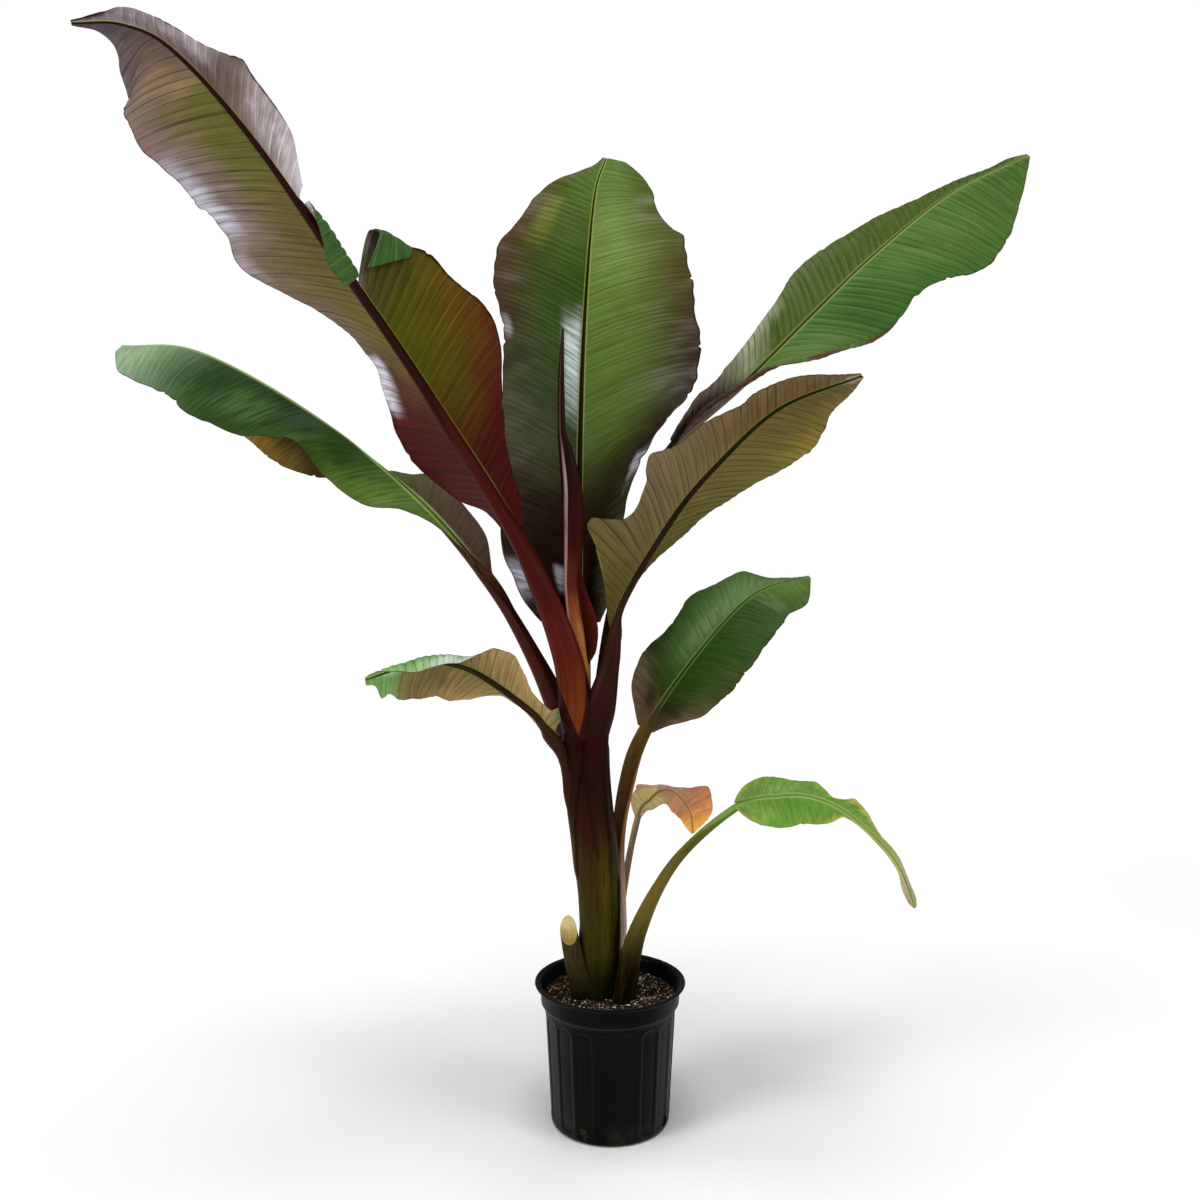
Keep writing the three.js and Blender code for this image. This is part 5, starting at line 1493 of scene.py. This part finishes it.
def stump_mesh():
    """A leaning oval rod whose upper end is cut on a slant that faces the viewer."""
    share = np.linspace(0, 1, STUMP_ROWS)[:, None]
    turn = np.linspace(0, 2 * math.pi, STUMP_SIDES, endpoint=False)[None, :]
    end_width, end_depth = (keyed(STUMP, column, CUT_LEVEL) for column in (3, 4))
    top = CUT_LEVEL + CUT_RISE[0] * end_width * np.cos(turn) + CUT_RISE[1] * end_depth * np.sin(turn)
    z = STUMP[0][0] + share * (top - STUMP[0][0])
    x, y, half_width, half_depth = (keyed(STUMP, column, z) for column in (1, 2, 3, 4))
    rings = np.stack([x + half_width * np.cos(turn), y + half_depth * np.sin(turn), z], -1)
    mesh = capped_loft("stump", rings, along=share + 0 * turn, around=turn / (2 * math.pi) + 0 * share,
                       groove=np.maximum(np.sin(turn), 0) + 0 * share)
    for polygon in mesh.polygons[-STUMP_SIDES:]:
        polygon.material_index = 1
        polygon.use_smooth = False
    return mesh


def cut_finish():
    material, tree, shader = finish_of("cut_face_finish")
    place = own_place(tree)
    grain = noise_on(tree, place, scale=90.0)
    height = add(tree, "ShaderNodeSeparateXYZ", {0: place}).outputs[2]
    share = swayed(tree, eased(tree, height, *CUT_HEIGHTS), grain, CUT_SWAY)
    dress(tree, shader, stops_of(tree, share, CUT_RAMP), grain, roughness=(0.6, 0.85))
    return material


stump = piece_of("cut_stump", stump_mesh(), stalk_finish("stump_finish", STUMP_LOOK), cut_finish())
settle(stump, "cut_stalk_stump")

# %% [markdown]
# ## Pot
# The nursery pot is blown from thin black plastic: a rolled lip, a smooth collar, a small step, and a body
# with eighteen shallow flutes that end in round arches. All but the flutes and the holes is round, so its
# profile is turned into a closed wall first. A Screw modifier could do that too, but the loft also carries
# which points are outside.

# %% Pot profile
# Outside from the foot to the lip and inside back down: radius, height
POT_OUTSIDE = [[98, 0], [101, 0.6], [103.6, 2.4], [105.2, 5], [105.8, 9], [106.4, 16], [116.3, 197],
               [116.6, 203], [118, 208.5], [121.6, 211.5], [123.2, 214], [123.6, 219], [124.3, 240],
               [125.2, 243.4], [128, 244], [131.4, 244.2], [133.6, 245.2], [134.5, 247], [133.8, 249],
               [132, 250]]
POT_INSIDE = [[131.4, 249.6], [130, 248.7], [126.6, 248.1], [124.4, 247.2], [123, 244.6], [122.3, 240],
              [121.6, 230], [120.8, 214], [114, 205], [103, 8], [100, 4]]
POT_SIDES = 360
WALL_STEP = 2.0


def fine_profile(points):
    """The profile with long straight runs cut into short steps."""
    places = [points[0]]
    for start, end in zip(points, points[1:]):
        steps = max(1, round(math.dist(start, end) / WALL_STEP))
        places += [[s + (e - s) * k / steps for s, e in zip(start, end)] for k in range(1, steps + 1)]
    return np.array(places)


outside, inside = fine_profile(POT_OUTSIDE), fine_profile(POT_INSIDE)
radius, level = np.concatenate([outside, inside]).T[:, :, None]
angle = np.linspace(0, 2 * math.pi, POT_SIDES, endpoint=False)
pot_rings = np.stack([radius * np.cos(angle), radius * np.sin(angle), level + 0 * angle], -1)
is_outer = np.repeat([1.0, 0.0], [len(outside) * POT_SIDES, len(inside) * POT_SIDES])
plain_pot = capped_loft("plain_pot", pot_rings, outer=is_outer)
print("pot profile points", len(radius))

# %% [markdown]
# The flutes are one shape that repeats round the axis. Eighteen cutters would leave rough edges on so thin a
# wall. A geometry tree finds each point's angle from the middle of its flute and presses the point in, less
# at the sides and above the arch.

# %% Flute tree
FLUTE_START = math.radians(-54)
FLUTE_FLAT = 0.8


def flute_tree():
    tree, given, result = new_tree(
        "pot_flutes", Count=("Float", 18.0), Half=("Float", 0.148), Start=("Float", 0.0),
        Depth=("Float", 0.0017), Foot=("Float", 0.012), Top=("Float", 0.199), Rise=("Float", 0.016),
        Soft=("Float", 0.004), Finish=("Material", None))
    place = add(tree, "GeometryNodeInputPosition").outputs[0]
    x, y, z = add(tree, "ShaderNodeSeparateXYZ", {0: place}).outputs
    angle = math_of(tree, "SUBTRACT", math_of(tree, "ARCTAN2", y, x), given["Start"])
    half_pitch = math_of(tree, "DIVIDE", math.pi, given["Count"])
    local = math_of(tree, "WRAP", angle, half_pitch, times(tree, half_pitch, -1.0))
    share = math_of(tree, "DIVIDE", math_of(tree, "ABSOLUTE", local), given["Half"])
    side = eased(tree, share, FLUTE_FLAT, 1.0, 1.0, 0.0)
    left_over = math_of(tree, "SUBTRACT", 1.0, math_of(tree, "POWER", share, 2.0))
    round_up = math_of(tree, "SQRT", math_of(tree, "MAXIMUM", left_over, 0.0))
    drop = times(tree, math_of(tree, "SUBTRACT", 1.0, round_up), given["Rise"])
    arch = math_of(tree, "SUBTRACT", given["Top"], drop)
    below = eased(tree, z, math_of(tree, "SUBTRACT", arch, given["Soft"]), arch, 1.0, 0.0)
    above = eased(tree, z, given["Foot"], math_of(tree, "ADD", given["Foot"], given["Soft"]))
    press = times(tree, side, below, above, carried(tree, "outer"), given["Depth"], -1.0)
    level = add(tree, "ShaderNodeVectorMath", {0: place, 1: (1, 1, 0)}, operation="MULTIPLY").outputs[0]
    outward = add(tree, "ShaderNodeVectorMath", {0: level}, operation="NORMALIZE").outputs[0]
    moved = add(tree, "GeometryNodeSetPosition",
                {"Geometry": given["Geometry"], "Offset": scaled(tree, outward, press)}).outputs[0]
    return end_tree(tree, result, moved, given["Finish"])


FLUTES = flute_tree()
print("flute tree has", len(FLUTES.nodes), "nodes")

# %% [markdown]
# A painted sheen makes the black plastic greyer where the wall turns away, and dust sticks to its foot. A
# plain black would look like a hole in the picture. Layer Weight paints the sheen into the base colour, and a
# noise with the height gives the dust.

# %% Pot finish
POT_SHINE = 0.05
POT_BLACK = [(0.3, "040404"), (0.7, "080807")]
# POT_SHEEN and SHEEN_FROM are painted sheen: greyer colours where the wall turns from the viewer.
POT_SHEEN = [(0.3, "1a1a1b"), (0.7, "2a2a2b")]
SHEEN_FROM = (0.22, 0.62)
# Dust from a height in metres down to the foot with its strength, where the haze is strong
DUST_HEIGHTS = (0.05, 0.004, 0.0, 0.35)
DUST_HAZE = (0.4, 0.7)
DUST_COLOUR = "40362c"


def pot_finish():
    material, tree, shader = finish_of("pot_plastic_finish", POT_SHINE)
    place = own_place(tree)
    high = add(tree, "ShaderNodeSeparateXYZ", {0: place}).outputs[2]
    haze = noise_on(tree, place, scale=22.0, detail=4.0)
    grit = noise_on(tree, place, scale=600.0, detail=2.0)
    facing = add(tree, "ShaderNodeLayerWeight", {"Blend": 0.5}).outputs["Facing"]
    colour = mixed(tree, eased(tree, facing, *SHEEN_FROM), stops_of(tree, haze, POT_BLACK),
                   stops_of(tree, haze, POT_SHEEN))
    dust = times(tree, eased(tree, high, *DUST_HEIGHTS), eased(tree, haze, *DUST_HAZE))
    dress(tree, shader, mixed(tree, dust, colour, DUST_COLOUR), haze, roughness=(0.36, 0.5), grain=grit,
          bump=(0.12, 0.0003))
    return material


fluted_pot = made_by(FLUTES, plain_pot, "fluted_pot", Start=FLUTE_START, Finish=pot_finish())
print("flutes pressed into", len(fluted_pot.polygons), "faces")

# %% [markdown]
# Four round holes at the foot let water out. Leaving faces out of the wall would give holes with corners, so
# Boolean modifiers cut them with small cylinders, and each cylinder is removed after its cut.

# %% Drain holes
DRAIN_FIRST, DRAIN_COUNT = -117, 4
DRAIN_RADIUS, DRAIN_HEIGHT = 0.0095, 0.017
DRAIN_REACH = 0.11
DRILL_SIDES, DRILL_LENGTH = 28, 0.04


def drill(piece):
    """Round holes through the wall at the foot of the pot."""
    for number in range(DRAIN_COUNT):
        angle = math.radians(DRAIN_FIRST + number * 360 / DRAIN_COUNT)
        place = (DRAIN_REACH * math.cos(angle), DRAIN_REACH * math.sin(angle), DRAIN_HEIGHT)
        bpy.ops.mesh.primitive_cylinder_add(vertices=DRILL_SIDES, radius=DRAIN_RADIUS, depth=DRILL_LENGTH,
                                            location=place, rotation=(0, math.pi / 2, angle))
        tool = bpy.context.object
        cut = piece.modifiers.new("drain", "BOOLEAN")
        cut.object = tool
        cut.operation = "DIFFERENCE"
        bpy.context.view_layer.update()
        whole = piece.evaluated_get(bpy.context.evaluated_depsgraph_get())
        drilled = bpy.data.meshes.new_from_object(whole)
        piece.modifiers.remove(cut)
        piece.data = drilled
        bpy.data.objects.remove(tool)


pot = piece_of("nursery_pot", fluted_pot)
drill(pot)
settle(pot, "pot")

# %% [markdown]
# ## Potting mix
# The mix is dark peat with bark and white perlite. A flat disc would show a sharp ring at the wall, so its
# bed is one closed loft with an uneven top and a low mound round the trunk.

# %% Bed of the mix
BED_RADIUS, BED_LEVEL = 120.4, 222
BED_RINGS, BED_SIDES = 40, 120
BED_MIDDLE = 0.5
# Radius and level of the rings below the top
BED_WALL = [[100, 6], [102.5, 8], [113.5, 205]]
# Three swells of the top: height, and length in x and in y
SWELLS = [(2.2, 17, 14), (1.4, 7, 9), (1.2, 5, 6)]
# The mound: height, x of its middle, reach
MOUND = (5, -18, 55)
GRAIN_REACH = 113
PEAT, PEAT_SCALE = [(0.3, "14100a"), (0.5, "2c2218"), (0.7, "483828")], 260.0


def bed_mesh():
    radius, level = np.array(BED_WALL).T
    radius = np.concatenate([radius, np.linspace(BED_RADIUS, BED_MIDDLE, BED_RINGS)])[:, None]
    level = np.concatenate([level, np.full(BED_RINGS, BED_LEVEL)])[:, None]
    angle = np.linspace(0, 2 * math.pi, BED_SIDES, endpoint=False)
    x, y = radius * np.cos(angle), radius * np.sin(angle)
    (broad, bx, by), (short, sx, sy), (cross, cx, cy) = SWELLS
    swell = broad * np.sin(x / bx + 1) * np.cos(y / by)
    swell = swell + short * np.sin(x / sx + y / sy) + cross * np.cos(x / cx - y / cy)
    height, middle, reach = MOUND
    mound = height * np.exp(-((x - middle) ** 2 + y ** 2) / reach ** 2)
    on_top = level >= BED_LEVEL
    z = level + np.where(on_top, swell + mound, 0)
    return capped_loft("mix_bed", np.stack([x, y, z], -1), top=(on_top & (radius < GRAIN_REACH)) + 0 * x)


def mix_finish(name, stops, scale):
    """A dull finish whose colour is a noise through the stops."""
    material, tree, shader = finish_of(name)
    grain = noise_on(tree, own_place(tree), scale, detail=4.0)
    dress(tree, shader, stops_of(tree, grain, stops), grain, roughness=(0.75, 0.95), grain=grain,
          bump=(0.6, 0.002))
    return material


bed_skin = bed_mesh()
bed = piece_of("mix_bed", bed_skin, mix_finish("peat_finish", PEAT, PEAT_SCALE))
settle(bed, "potting_mix")

# %% [markdown]
# Crumbs, bark chips and perlite lie on the bed in thousands. Particles could strew them, but a geometry tree
# gives real faces. One tree dents a small ball and scatters it, and it is used three times, each with its
# own size, number and seed.

# %% Scatter tree
LUMP_SCALE = 1.3
DENT_MIDDLE, DENT_DEPTH = 0.6, 1.4
GRAIN_TILT, GRAIN_TURN = 0.7, 6.28


def scatter_tree():
    tree, given, result = new_tree(
        "scattered_grains", Density=("Float", 20000.0), Small=("Float", 0.001), Large=("Float", 0.003),
        Length=("Float", 1.0), Flat=("Float", 1.0), Seed=("Int", 0), Finish=("Material", None))
    spots = add(tree, "GeometryNodeDistributePointsOnFaces",
                {"Mesh": given["Geometry"], "Density": given["Density"], "Seed": given["Seed"],
                 "Selection": math_of(tree, "GREATER_THAN", carried(tree, "top"), 0.5)}).outputs[0]
    ball = add(tree, "GeometryNodeMeshIcoSphere", {"Radius": 1.0, "Subdivisions": 1}).outputs[0]
    rough = add(tree, "ShaderNodeTexNoise", {"Scale": LUMP_SCALE}).outputs[0]
    dent = times(tree, math_of(tree, "SUBTRACT", rough, DENT_MIDDLE), DENT_DEPTH)
    dented = scaled(tree, add(tree, "GeometryNodeInputNormal").outputs[0], dent)
    lump = add(tree, "GeometryNodeSetPosition", {"Geometry": ball, "Offset": dented}).outputs[0]
    size = add(tree, "FunctionNodeRandomValue",
               {2: given["Small"], 3: given["Large"], "Seed": given["Seed"]}, data_type="FLOAT").outputs[1]
    form = add(tree, "ShaderNodeCombineXYZ", {0: given["Length"], 1: 1.0, 2: given["Flat"]}).outputs[0]
    tilt = add(tree, "FunctionNodeRandomValue",
               {0: (-GRAIN_TILT, -GRAIN_TILT, 0.0), 1: (GRAIN_TILT, GRAIN_TILT, GRAIN_TURN),
                "Seed": given["Seed"]}, data_type="FLOAT_VECTOR").outputs[0]
    grains = add(tree, "GeometryNodeInstanceOnPoints",
                 {"Points": spots, "Instance": lump, "Rotation": tilt,
                  "Scale": scaled(tree, form, size)}).outputs[0]
    return end_tree(tree, result, grains, given["Finish"])


SCATTER = scatter_tree()
print("scatter tree has", len(SCATTER.nodes), "nodes")

# %% Grains on the bed
# For each kind of grain: the tree's inputs, the colours and the scale of their noise
GRAINS = {
    "peat_crumbs": (dict(Density=42000.0, Small=0.0012, Large=0.0036, Length=1.2, Flat=0.8, Seed=3),
                    [(0.3, "140f0a"), (0.5, "302418"), (0.7, "503e2c")], 120.0),
    "bark_chips": (dict(Density=11000.0, Small=0.0016, Large=0.0034, Length=3.0, Flat=0.5, Seed=7),
                   [(0.3, "241a10"), (0.5, "54402c"), (0.7, "9c8468")], 60.0),
    "perlite": (dict(Density=13000.0, Small=0.0008, Large=0.0026, Length=1.7, Flat=0.7, Seed=12),
                [(0.3, "b8b2a8"), (0.5, "dad6ce"), (0.7, "efece6")], 90.0),
}
for grain_name, (sizes, stops, scale) in GRAINS.items():
    grain_mesh = made_by(SCATTER, bed_skin.copy(), grain_name + "_mesh", **sizes,
                         Finish=mix_finish(grain_name + "_finish", stops, scale))
    ride_along(piece_of(grain_name, grain_mesh))

# %% [markdown]
# ## Floor
# The photo has no floor, but a plant that stands on nothing looks pasted on. A pale sheet takes a soft
# shadow. It is a stage and not a part of the plant.

# %% Floor
FLOOR_HALF = 30
FLOOR_CLOUD = [(0.3, "f0f0ef"), (0.7, "f5f5f4")]
FLOOR_ROUGHNESS = 0.8


def pale_finish():
    material, tree, shader = finish_of("pale_floor_finish")
    cloud = noise_on(tree, own_place(tree), scale=0.8, detail=2.0)
    tree.links.new(stops_of(tree, cloud, FLOOR_CLOUD), shader.inputs["Base Color"])
    shader.inputs["Roughness"].default_value = FLOOR_ROUGHNESS
    return material


corners = [(x * FLOOR_HALF / MM, y * FLOOR_HALF / MM, 0) for x, y in ((-1, -1), (1, -1), (1, 1), (-1, 1))]
floor = piece_of("pale_floor", mesh_of("pale_floor", corners, [[0, 1, 2, 3]]), pale_finish())
